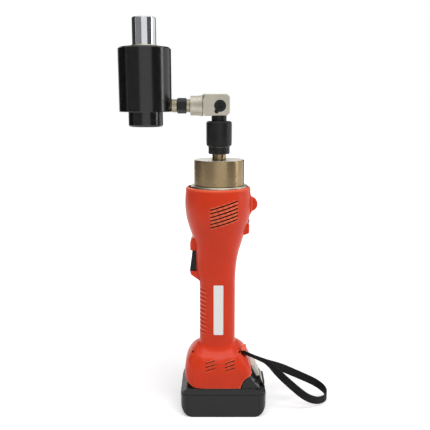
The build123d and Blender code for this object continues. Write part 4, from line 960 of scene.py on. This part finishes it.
# The collar's turned top: its thickness, its seat below it, its margin and the step at its middle.
FACE_RISE, FACE_SEAT, FACE_MARGIN = 0.0003, 0.0004, 0.0011
FACE_STEP_RADII, FACE_STEP_DEPTH = (0.013, 0.0126), 0.0002
# The pale ring under the coupler's sleeve: radii, and heights from the sleeve's lower end.
SLEEVE_WIPER_RADII, SLEEVE_WIPER_HEIGHTS = (0.01345, 0.0138), (-0.0002, 0.0003)


def ring_profile(node):
    """An upright turned node's radius, its lower and upper ends and its axis, from its box."""
    low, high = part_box(node)
    middle = (low + high) / 2
    return (high.x - low.x) / 2, low.z, high.z, Vector((middle.x, middle.y, 0.0))


def chamfered_ring(bore, radius, low, high, chamfer):
    """A ring's profile with its upper outer edge broken."""
    return [(bore, low), (radius, low), (radius, high - chamfer), (radius - chamfer, high),
            (bore, high)]


class PUNCH_OT_pump_collar(bpy.types.Operator):
    """Makes the plated pump collar and the bright ring under it"""
    bl_idname = "punch.pump_collar"
    bl_label = "Pump collar"

    def execute(self, context):
        radius, low, high, centre = ring_profile("flange_ring")
        profile = chamfered_ring(FLANGE_BORE, radius, low, high, FLANGE_CHAMFER)
        finished_piece(turned(profile, "Z", centre, True), "collar_ring", "tool_body",
                       "bright_steel", ("flange_ring",))
        radius, low, high, centre = ring_profile("pump_collar")
        deck = high - FACE_RISE
        profile = chamfered_ring(COLLAR_BORE, radius, low, deck, COLLAR_CHAMFER)
        finished_piece(turned(profile, "Z", centre, True), "collar_turned", "tool_body",
                       "plated_collar", ("pump_collar",))
        rim, seat, step = radius - FACE_MARGIN, deck - FACE_SEAT, high - FACE_STEP_DEPTH
        outer, inner = FACE_STEP_RADII
        profile = [(COLLAR_BORE, seat), (rim, seat), (rim, high), (outer, high), (inner, step),
                   (COLLAR_BORE, step)]
        finished_piece(turned(profile, "Z", centre, True, 0.0), "collar_face", "tool_body",
                       "bright_steel")
        return {"FINISHED"}


class PUNCH_OT_coupler(bpy.types.Operator):
    """Makes the quick coupler: nipple, ring, pull-back sleeve and tip"""
    bl_idname = "punch.coupler"
    bl_label = "Quick coupler"

    def execute(self, context):
        softened_pieces(
            ("coupler_nipple", "coupler_neck", "tool_body", "plated_collar", 0.0003),
            ("coupler_body", "coupler_ring", "tool_body", "black_oxide", 0.0004),
            ("coupler_sleeve", "coupler_grip", "coupler_sleeve", "black_oxide", 0.0004),
            ("coupler_tip", "coupler_end", "swivel_head", "black_oxide", 0.0004))
        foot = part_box("coupler_sleeve")[0].z
        inner, outer = SLEEVE_WIPER_RADII
        low, high = (foot + height for height in SLEEVE_WIPER_HEIGHTS)
        profile = [(inner, low), (outer, low), (outer, high), (inner, high)]
        finished_piece(turned(profile, closed=True, width=0.0), "sleeve_wiper", "coupler_sleeve",
                       "zinc_yellow")
        return {"FINISHED"}


# Swivel elbow and fittings

# The cone that breaks the elbow's left corners: radius at its mouth, full radius and length.
ELBOW_MOUTH, ELBOW_FULL, ELBOW_CONE = 0.0129, 0.0190, 0.0046


class PUNCH_OT_elbow(bpy.types.Operator):
    """Makes the swivel elbow with its plug, lock screw and stub"""
    bl_idname = "punch.elbow"
    bl_label = "Swivel elbow"

    def execute(self, context):
        low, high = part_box("elbow_block")
        end = high.x - low.x + SPARE
        cone = [(0.0, 0.0), (ELBOW_MOUTH, 0.0), (ELBOW_FULL, ELBOW_CONE), (ELBOW_FULL, end),
                (0.0, end)]
        cone = turned(cone, "X", (low.x, 0.0, (low.z + high.z) / 2), width=0.0)
        body = softened("elbow_block", width=0.0006, segments=3)
        body = carved(body, cone, "INTERSECT")
        finished_piece(body, "elbow_body", "swivel_head", "satin_nickel", ("elbow_block",))
        softened_pieces(
            ("elbow_plug", "elbow_socket_plug", "swivel_head", "black_oxide", 0.0003),
            ("lock_screw", "elbow_lock_screw", "swivel_head", "black_oxide", 0.0002),
            ("swivel_stub", "elbow_stub", "cylinder_head", "satin_nickel", 0.0004))
        return {"FINISHED"}


class PUNCH_OT_fittings(bpy.types.Operator):
    """Makes the zinc nipples and the black hexagon nut between the elbow and the ram"""
    bl_idname = "punch.fittings"
    bl_label = "Ram fittings"

    def execute(self, context):
        softened_pieces(
            ("stub_adapter", "elbow_nipple", "cylinder_head", "zinc_yellow", 0.0003),
            ("port_adapter", "ram_nipple", "cylinder_head", "zinc_yellow", 0.0003),
            ("union_nut", "ram_nut", "cylinder_head", "black_oxide", 0.0006))
        return {"FINISHED"}


# Ram

ROD_WIPER_BORE, ROD_WIPER_ROUND = 0.01462, 0.0003
ROD_WIPER_LIP_RADII, ROD_WIPER_LIP_RISE = (0.0166, 0.0160), 0.0018


class PUNCH_OT_ram(bpy.types.Operator):
    """Makes the ram: barrel, bottom cap, wiper ring and chromed rod"""
    bl_idname = "punch.ram"
    bl_label = "Ram"

    def execute(self, context):
        softened_pieces(
            ("cylinder_barrel", "ram_barrel", "cylinder_head", "anodised_black", 0.0004),
            ("cylinder_cap", "ram_cap", "cylinder_head", "anodised_black", 0.0004))
        radius, low, high, centre = ring_profile("rod_wiper")
        lip = high + ROD_WIPER_LIP_RISE
        outer, inner = ROD_WIPER_LIP_RADII
        profile = [(ROD_WIPER_BORE, low), (radius, low), (radius, high), (outer, high),
                   (inner, lip), (ROD_WIPER_BORE, lip)]
        finished_piece(turned(profile, "Z", centre, True, ROD_WIPER_ROUND), "ram_wiper",
                       "cylinder_head", "bright_steel", ("rod_wiper",))
        softened_pieces(("piston_rod", "ram_rod", "ram", "rod_chrome", 0.0006))
        return {"FINISHED"}


# Battery, in metres except where a comment says millimetres

# The cover's sloping end: a place on it in millimetres, and how far out it runs on the way down.
SLOPE_X, SLOPE_TOP, SLOPE_RUN = 46.75, 60.0, 0.4714
LATCH_GROOVES = (0.0490, 0.0520, 0.0550)
GROOVE_RADIUS, GROOVE_LENGTH, GROOVE_STEPS = 0.0006, 0.018, 20
# The pale plate below the latch: heights, half width, how far it stands behind and before the
# slope, how much higher its outer face is, and its rounding.
SLOPE_PLATE_Z, SLOPE_PLATE_HALF = (0.0330, 0.0418), 0.0153
SLOPE_PLATE_BEHIND, SLOPE_PLATE_PROUD, SLOPE_PLATE_LIFT = 0.0003, 0.00045, 0.0002
SLOPE_PLATE_ROUND = 0.0002
TUB_END_ROUND, TUB_CORNER, TUB_EDGE, TUB_EDGE_ANGLE = 0.0165, 0.0111, 0.0009, 40.0
PANEL_GROOVES_X, PANEL_GROOVE_HALF = (-0.0400, 0.0514), 0.0005
PANEL_GROOVE_Y, PANEL_GROOVE_Z = (0.0366, 0.0380), (0.003, 0.031)
SKIRT_TOP, SKIRT_ROUND, LID_CORNER = 0.0380, 0.0014, 0.0103
# The parts of the cover that rise above its skirt.
LID_RAISED = (((-0.0425, -0.0271, 0.0330), (0.0605, 0.0271, 0.0610)),
              ((0.0260, -0.0360, 0.0330), (0.0605, 0.0360, 0.0610)))
# The skirt's sloped ends: upper and lower edge and wall in millimetres, and where each stands.
LID_SLOPES = (((47.6, 38.0), (59.9, 30.8), 1.0, -0.0400, -0.0153),
              ((47.6, 38.0), (59.9, 30.8), 1.0, 0.0153, 0.0400),
              ((-41.6, 38.0), (-48.4, 32.9), 1.6, -0.0400, 0.0400))
# How far out and up the cut runs, in millimetres, and a slope's drop for each of its wall.
SLOPE_BEYOND, SLOPE_ABOVE, SLOPE_WALL_DROP = 2.0, 39.0, 1.3
# The walls beside the latch that are cut lower: outline in millimetres, and where they stand.
LATCH_WALL_CUT = ((43.1, 61.0), (43.1, 58.3), (50.7, 42.3), (54.8, 44.2), (62.0, 50.0),
                  (50.0, 62.0))
LATCH_WALLS_Y = ((-0.0160, -0.0120), (0.0120, 0.0160))


def slope_x(height):
    """Where the sloping end of the battery's cover stands at a height."""
    return (SLOPE_X + SLOPE_RUN * (SLOPE_TOP - height / MM)) * MM


class PUNCH_OT_battery(bpy.types.Operator):
    """Makes the slide-on battery's case, cover and latch button"""
    bl_idname = "punch.battery"
    bl_label = "Battery"

    def execute(self, context):
        finished_piece(self.tub(), "battery_tub", "battery", "battery_charcoal", ("battery_case",))
        finished_piece(self.lid(), "battery_lid", "battery", "battery_charcoal", ("battery_cover",))
        button = softened("battery_latch", width=0.0005)
        for height in LATCH_GROOVES:
            place = (slope_x(height) + GROOVE_RADIUS, GROOVE_LENGTH / 2, height)
            button = carved(button, drill(GROOVE_RADIUS, GROOVE_LENGTH, "Y", place, GROOVE_STEPS))
        finished_piece(button, "battery_button", "battery_latch", "latch_grey", ("battery_latch",))
        finished_piece(self.slope_plate(), "slope_plate", "battery", "latch_grey")
        return {"FINISHED"}

    def slope_plate(self):
        """The pale plate on the slope below the latch."""
        low, high = SLOPE_PLATE_Z
        outline = [(slope_x(low) - SLOPE_PLATE_BEHIND, low),
                   (slope_x(low) + SLOPE_PLATE_PROUD, low + SLOPE_PLATE_LIFT),
                   (slope_x(high) + SLOPE_PLATE_PROUD, high + SLOPE_PLATE_LIFT),
                   (slope_x(high) - SLOPE_PLATE_BEHIND, high)]
        return rounded_prism(outline, -SLOPE_PLATE_HALF, SLOPE_PLATE_HALF, SLOPE_PLATE_ROUND)

    def tub(self):
        """The case: round at its lower ends and upright corners, with grooves in its panels."""
        low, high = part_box("battery_case")
        spare = Vector((0.0, SPARE, 0.0))
        tub = rounded_block(low - spare, high + spare, Y_AXIS, TUB_END_ROUND, lowest=True)
        spare = Vector((0.0, 0.0, SPARE))
        plan = rounded_block(low - spare, high + spare, Z_AXIS, TUB_CORNER)
        tub = carved(tub, plan, "INTERSECT")
        bevelled(tub, sharp_edges(tub, TUB_EDGE_ANGLE), TUB_EDGE, segments=3)
        bottom, top = PANEL_GROOVE_Z
        for x in PANEL_GROOVES_X:
            for side in (-1, 1):
                near, far = sorted(side * y for y in PANEL_GROOVE_Y)
                tub = carved(tub, block((x - PANEL_GROOVE_HALF, near, bottom),
                                        (x + PANEL_GROOVE_HALF, far, top)))
        return tub

    def lid(self):
        """The cover, with its skirt rounded, its ends sloped and its walls lower at the latch."""
        low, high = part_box("battery_cover")
        skirt = rounded_block(low - Vector((0.0, 0.0, SPARE)), Vector((high.x, high.y, SKIRT_TOP)),
                              Z_AXIS, LID_CORNER)
        upper = [edge for edge in skirt.edges
                 if all(vertex.co.z > SKIRT_TOP - HAIR for vertex in edge.verts)]
        bevelled(skirt, upper, SKIRT_ROUND, segments=4)
        for corner, other in LID_RAISED:
            skirt = carved(skirt, block(corner, other), "UNION")
        lid = carved(softened("battery_cover", width=0.0006), skirt, "INTERSECT")
        plan = rounded_block(low, high, Z_AXIS, LID_CORNER)
        for upper, lower, wall, near, far in LID_SLOPES:
            beyond = lower[0] + math.copysign(SLOPE_BEYOND, lower[0])
            cut = [upper, lower, (beyond, lower[1]), (beyond, SLOPE_ABOVE), (upper[0], SLOPE_ABOVE)]
            lid = carved(lid, prism(scaled(cut), near, far))
            drop = wall * SLOPE_WALL_DROP
            slab = [upper, lower, (lower[0], lower[1] - drop), (upper[0], upper[1] - drop)]
            slab = carved(prism(scaled(slab), near, far), plan.copy(), "INTERSECT")
            lid = carved(lid, slab, "UNION")
        plan.free()
        for near, far in LATCH_WALLS_Y:
            lid = carved(lid, prism(scaled(LATCH_WALL_CUT), near, far))
        return lid


# Wrist strap

# Route in metres: the solid's points, with both ends drawn in to the casing's shoulder.
STRAP_ROUTE = (
    (0.0288, -0.0172, 0.0818), (0.0345, -0.0200, 0.0803), (0.0420, -0.0214, 0.0774),
    (0.0520, -0.0206, 0.0728), (0.0635, -0.0183, 0.0668), (0.0780, -0.0174, 0.0503),
    (0.0960, -0.0190, 0.0335), (0.1145, -0.0175, 0.0170), (0.1290, -0.0120, 0.0090),
    (0.1400, -0.0050, 0.0070), (0.1470, 0.0045, 0.0080), (0.1450, 0.0145, 0.0120),
    (0.1330, 0.0180, 0.0205), (0.1105, 0.0120, 0.0335), (0.0820, 0.0000, 0.0515),
    (0.0642, -0.0142, 0.0646), (0.0520, -0.0172, 0.0712), (0.0420, -0.0188, 0.0764),
    (0.0345, -0.0176, 0.0795), (0.0288, -0.0150, 0.0810),
)
STRAP_RESOLUTION = 14
# Section of the webbing, in halves of its width and of its thickness.
STRAP_SECTION = (
    (-1.0, 0.0), (-0.94, -1.0), (-0.5, -1.0), (0.0, -1.0), (0.5, -1.0), (0.94, -1.0),
    (1.0, 0.0), (0.94, 1.0), (0.5, 1.0), (0.0, 1.0), (-0.5, 1.0), (-0.94, 1.0))
# The webbing is gathered at its ends: its share of the width there, and where it spreads.
STRAP_GATHERED, STRAP_SPREAD = 0.42, (0.012, 0.075)


def strap_line():
    """The strap's smooth line, read from a spline on its route."""
    curve = bpy.data.curves.new("strap_route", "CURVE")
    curve.dimensions = "3D"
    curve.resolution_u = STRAP_RESOLUTION
    spline = curve.splines.new("NURBS")
    spline.points.add(len(STRAP_ROUTE) - 1)
    for point, place in zip(spline.points, STRAP_ROUTE):
        point.co = (*place, 1.0)
    spline.order_u = 3
    spline.use_endpoint_u = True
    holder = placed("strap_route", curve)
    mesh = evaluated_mesh(holder)
    line = [vertex.co.copy() for vertex in mesh.vertices]
    bpy.data.meshes.remove(mesh)
    bpy.data.objects.remove(holder)
    bpy.data.curves.remove(curve)
    return line


def strap_frames(line):
    """Each point of the strap's line with the axes of its width and its thickness."""
    frames = []
    for index, point in enumerate(line):
        before, after = line[max(index - 1, 0)], line[min(index + 1, len(line) - 1)]
        run = (after - before).normalized()
        wide = (Vector((0, 0, 1)) - run * run.z).normalized()
        frames.append((point, wide, run.cross(wide)))
    return frames


def put_in_order(bm, vertices):
    """Orders a mesh's vertices and faces, so that the same route always gives the same order."""
    for index, vertex in enumerate(vertices):
        vertex.index = index
    bm.verts.sort()

    def rank(face):
        indices = [vertex.index for vertex in face.verts]
        return min(indices) * len(vertices) + max(indices)

    bm.faces.sort(key=rank)


class PUNCH_OT_strap(bpy.types.Operator):
    """Makes the woven wrist strap along its route"""
    bl_idname = "punch.strap"
    bl_label = "Wrist strap"

    def execute(self, context):
        line = strap_line()
        half, thick = sizes().strap_width / 2, sizes().strap_thickness / 2
        section = [(half * u, thick * v) for u, v in STRAP_SECTION]
        bm = bmesh.new()
        along = bm.verts.layers.float.new("along")
        across = bm.verts.layers.float.new("across")
        ring, vertices, run_length, last = None, [], 0.0, line[0]
        whole = sum((after - before).length for before, after in zip(line, line[1:]))
        for point, wide, flat in strap_frames(line):
            run_length += (point - last).length
            last = point
            spread = smooth_step(min(run_length, whole - run_length), *STRAP_SPREAD)
            share = STRAP_GATHERED + (1 - STRAP_GATHERED) * spread
            places = [point + wide * u * share + flat * v for u, v in section]
            ring = next_ring(bm, ring, places, capped=True)
            vertices += ring
            for vertex, (u, v) in zip(ring, section):
                vertex[along], vertex[across] = run_length, u
        bm.faces.new(ring)
        bmesh.ops.recalc_face_normals(bm, faces=bm.faces)
        put_in_order(bm, vertices)
        strap = finished_piece(bm, "strap", "tool_body", "strap_webbing", ("wrist_strap",),
                               ROUND_SMOOTH_ANGLE, weighted=False)
        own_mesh(strap)
        return {"FINISHED"}


# Works inside the casing, the ram and the battery

# Each spring with the joint that shortens it, its body, its seat's height and the joint's travel.
SPRINGS = (("sleeve_spring", "sleeve_pull", "tool_body", 0.3444, 0.005),
           ("return_spring", "ram_slide", "cylinder_head", 0.3724, 0.022),
           ("latch_spring", "latch_press", "battery", 0.0380, 0.004))


class PUNCH_OT_inner_works(bpy.types.Operator):
    """Makes the springs' coils, and gives every solid that still shows its slot's finish"""
    bl_idname = "punch.inner_works"
    bl_label = "Inner works"

    def execute(self, context):
        for node, joint, body, seat, travel in SPRINGS:
            spring = finished_piece(solid_copy(node), node + "_coil", body, "gear_steel", (node,),
                                    ROUND_SMOOTH_ANGLE, weighted=False)
            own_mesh(spring)
        for entry in frame["record"]["subparts"]:
            solid = frame["nodes"][entry["node"]]
            solid.data.materials.clear()
            solid.data.materials.append(material_of(entry["material_slot"]))
        return {"FINISHED"}


# Stage

CAMERA_PLACE, CAMERA_TILT = (-0.005, -0.710, 0.392), math.radians(79.3)
CAMERA_LENS, CAMERA_SENSOR, CAMERA_NEAR = 47.7, 36.0, 0.01
# Lamps: degrees from the camera's side, distance, height, size, power, whether reflections show the
# lamp and whether it lights matt surfaces.
LAMPS = (("front", 26.0, 1.1, 1.05, (0.7, 0.5), 5.0, False, True),
         ("right", 86.0, 1.1, 0.60, (0.12, 0.9), 2.2, True, True),
         ("left", -79.0, 1.1, 0.60, (0.30, 0.9), 1.6, False, True),
         ("top", 0.0, 0.22, 1.30, (0.9, 0.30), 6.0, False, True),
         ("sheen", 0.0, 0.22, 1.30, (0.9, 0.34), 6.0, True, False))
LAMP_AIM = Vector((0.0, 0.0, 0.24))
# Dark cards round the set, seen only in reflections: degrees from the camera's side, width in
# degrees and shade.
CARDS = ((-48.0, 58.0, 0.60), (-112.0, 64.0, 0.08), (62.0, 54.0, 0.24), (160.0, 30.0, 0.05))
CARD_DISTANCE, CARD_HEIGHT = 1.9, 2.2
WHITE = (1.0, 1.0, 1.0, 1.0)
# The world's strength where it only lights, against 1 where it is seen.
WORLD_LIGHT = 0.34
FLOOR_RADIUS, FLOOR_SEGMENTS, FLOOR_COLOUR = 6.0, 96, (0.82, 0.82, 0.82, 1.0)
# The floor's own glow: distances between which it rises from its lower strength to 1.
FLOOR_GLOW_REACH, FLOOR_GLOW_LOW = (0.12, 0.7), 0.42


def around(degrees, distance, height):
    """A place round the object, at an angle from the camera's side."""
    angle = math.radians(degrees)
    return Vector((distance * math.sin(angle), -distance * math.cos(angle), height))


def staged(bm, name, material):
    """A piece of the set, which isn't part of the object."""
    prop = mesh_object(bm, name)
    prop.data.materials.append(material)
    return prop


def seen_rays(tree):
    """1 for rays that show the background: from the camera, in a reflection or through glass."""
    path = tree.nodes.new("ShaderNodeLightPath")
    seen = path.outputs["Is Camera Ray"]
    for name in ("Is Glossy Ray", "Is Transmission Ray"):
        node = tree.nodes.new("ShaderNodeMath")
        node.operation = "MAXIMUM"
        tree.links.new(seen, node.inputs[0])
        tree.links.new(path.outputs[name], node.inputs[1])
        seen = node.outputs["Value"]
    return seen


class PUNCH_OT_stage(bpy.types.Operator):
    """Sets up the floor, the studio light and the camera"""
    bl_idname = "punch.stage"
    bl_label = "Stage"

    def execute(self, context):
        scene = context.scene
        scene.view_settings.view_transform = "Standard"
        camera = bpy.data.cameras.new("camera")
        camera.lens, camera.sensor_width = CAMERA_LENS, CAMERA_SENSOR
        camera.clip_start = CAMERA_NEAR
        scene.camera = placed("camera", camera)
        scene.camera.location = CAMERA_PLACE
        scene.camera.rotation_euler = (CAMERA_TILT, 0.0, 0.0)
        self.world(scene)
        for lamp in LAMPS:
            self.lamp(*lamp)
        for index, card in enumerate(CARDS):
            self.card(index, *card)
        self.floor()
        return {"FINISHED"}

    def world(self, scene):
        """A white background that lights the object less than it shows."""
        world = bpy.data.worlds.new("studio")
        world.use_nodes = True
        tree = world.node_tree
        background = filled(tree.nodes["Background"], Color=WHITE)
        strength = filled(tree.nodes.new("ShaderNodeMapRange"), To_Min=WORLD_LIGHT, To_Max=1.0)
        tree.links.new(seen_rays(tree), strength.inputs["Value"])
        tree.links.new(strength.outputs["Result"], background.inputs["Strength"])
        scene.world = world

    def lamp(self, name, degrees, distance, height, size, power, mirrored, lighting):
        """A soft rectangular lamp that points at the object."""
        lamp = bpy.data.lights.new(name, "AREA")
        lamp.shape = "RECTANGLE"
        lamp.size, lamp.size_y = size
        lamp.energy = power
        holder = placed(name, lamp)
        holder.location = around(degrees, distance, height)
        away = LAMP_AIM - holder.location
        holder.rotation_euler = away.to_track_quat("-Z", "Y").to_euler()
        holder.visible_glossy = mirrored
        holder.visible_diffuse = lighting

    def card(self, index, middle, width, shade):
        """A matt card that stands upright round the object."""
        half = CARD_DISTANCE * math.tan(math.radians(width / 2))
        bm = bmesh.new()
        bmesh.ops.create_grid(bm, x_segments=1, y_segments=1, size=1.0)
        matrix = (Matrix.Translation(around(middle, CARD_DISTANCE, CARD_HEIGHT / 2))
                  @ Matrix.Rotation(math.radians(middle), 4, "Z")
                  @ Matrix.Rotation(QUARTER_TURN, 4, "X")
                  @ Matrix.Diagonal((half, CARD_HEIGHT / 2, 1.0, 1.0)))
        bmesh.ops.transform(bm, matrix=matrix, verts=bm.verts)
        felt = Finish(f"card_felt_{index}")
        felt.set(Base_Color=(shade, shade, shade, 1.0), Roughness=1.0)
        card = staged(bm, f"card_{index}", felt.material)
        card.visible_camera = False
        card.visible_shadow = False
        card.visible_diffuse = False

    def floor(self):
        """A pale paper floor that turns white away from the object and keeps its shadow."""
        bm = bmesh.new()
        bmesh.ops.create_circle(bm, segments=FLOOR_SEGMENTS, radius=FLOOR_RADIUS, cap_ends=True)
        paper = Finish("floor_paper")
        paper.set(Base_Color=FLOOR_COLOUR, Roughness=0.9, Specular_IOR_Level=0.0,
                  Emission_Color=WHITE)
        reach = paper.node("VectorMath")
        reach.operation = "LENGTH"
        paper.link(paper.place, reach.inputs[0])
        glow = paper.node("MapRange", From_Min=FLOOR_GLOW_REACH[0], From_Max=FLOOR_GLOW_REACH[1],
                          To_Min=FLOOR_GLOW_LOW, To_Max=1.0)
        glow.interpolation_type = "SMOOTHSTEP"
        paper.link(reach.outputs["Value"], glow.inputs["Value"])
        seen = paper.math("MULTIPLY", seen_rays(paper.tree), glow.outputs["Result"])
        paper.link(seen, paper.shader.inputs["Emission Strength"])
        staged(bm, "floor", paper.material)


class PUNCH_PT_pieces(bpy.types.Panel):
    """Lists the operators that dress the hole punch"""
    bl_idname = "PUNCH_PT_pieces"
    bl_label = "Hole punch"
    bl_space_type = "VIEW_3D"
    bl_region_type = "UI"
    bl_category = "Hole Punch"

    def draw(self, context):
        for operator in OPERATORS:
            self.layout.operator(operator.bl_idname)
        for group in (context.scene.punch_finishes, context.scene.punch_sizes):
            for name in group.__annotations__:
                self.layout.prop(group, name)


OPERATORS = (
    PUNCH_OT_stage, PUNCH_OT_strap, PUNCH_OT_casing, PUNCH_OT_controls, PUNCH_OT_pump_collar,
    PUNCH_OT_coupler, PUNCH_OT_elbow, PUNCH_OT_fittings, PUNCH_OT_ram, PUNCH_OT_battery,
    PUNCH_OT_inner_works,
)
CLASSES = (PunchFinishes, PunchSizes) + OPERATORS + (PUNCH_PT_pieces,)


def register():
    for item in CLASSES:
        bpy.utils.register_class(item)
    bpy.types.Scene.punch_finishes = PointerProperty(type=PunchFinishes)
    bpy.types.Scene.punch_sizes = PointerProperty(type=PunchSizes)


def unregister():
    del bpy.types.Scene.punch_sizes
    del bpy.types.Scene.punch_finishes
    for item in reversed(CLASSES):
        bpy.utils.unregister_class(item)


def main():
    register()
    bpy.ops.punch.stage()
    bpy.ops.punch.strap()
    bpy.ops.punch.casing()
    bpy.ops.punch.controls()
    bpy.ops.punch.pump_collar()
    bpy.ops.punch.coupler()
    bpy.ops.punch.elbow()
    bpy.ops.punch.fittings()
    bpy.ops.punch.ram()
    bpy.ops.punch.battery()
    bpy.ops.punch.inner_works()


if __name__ == "__main__":
    main()
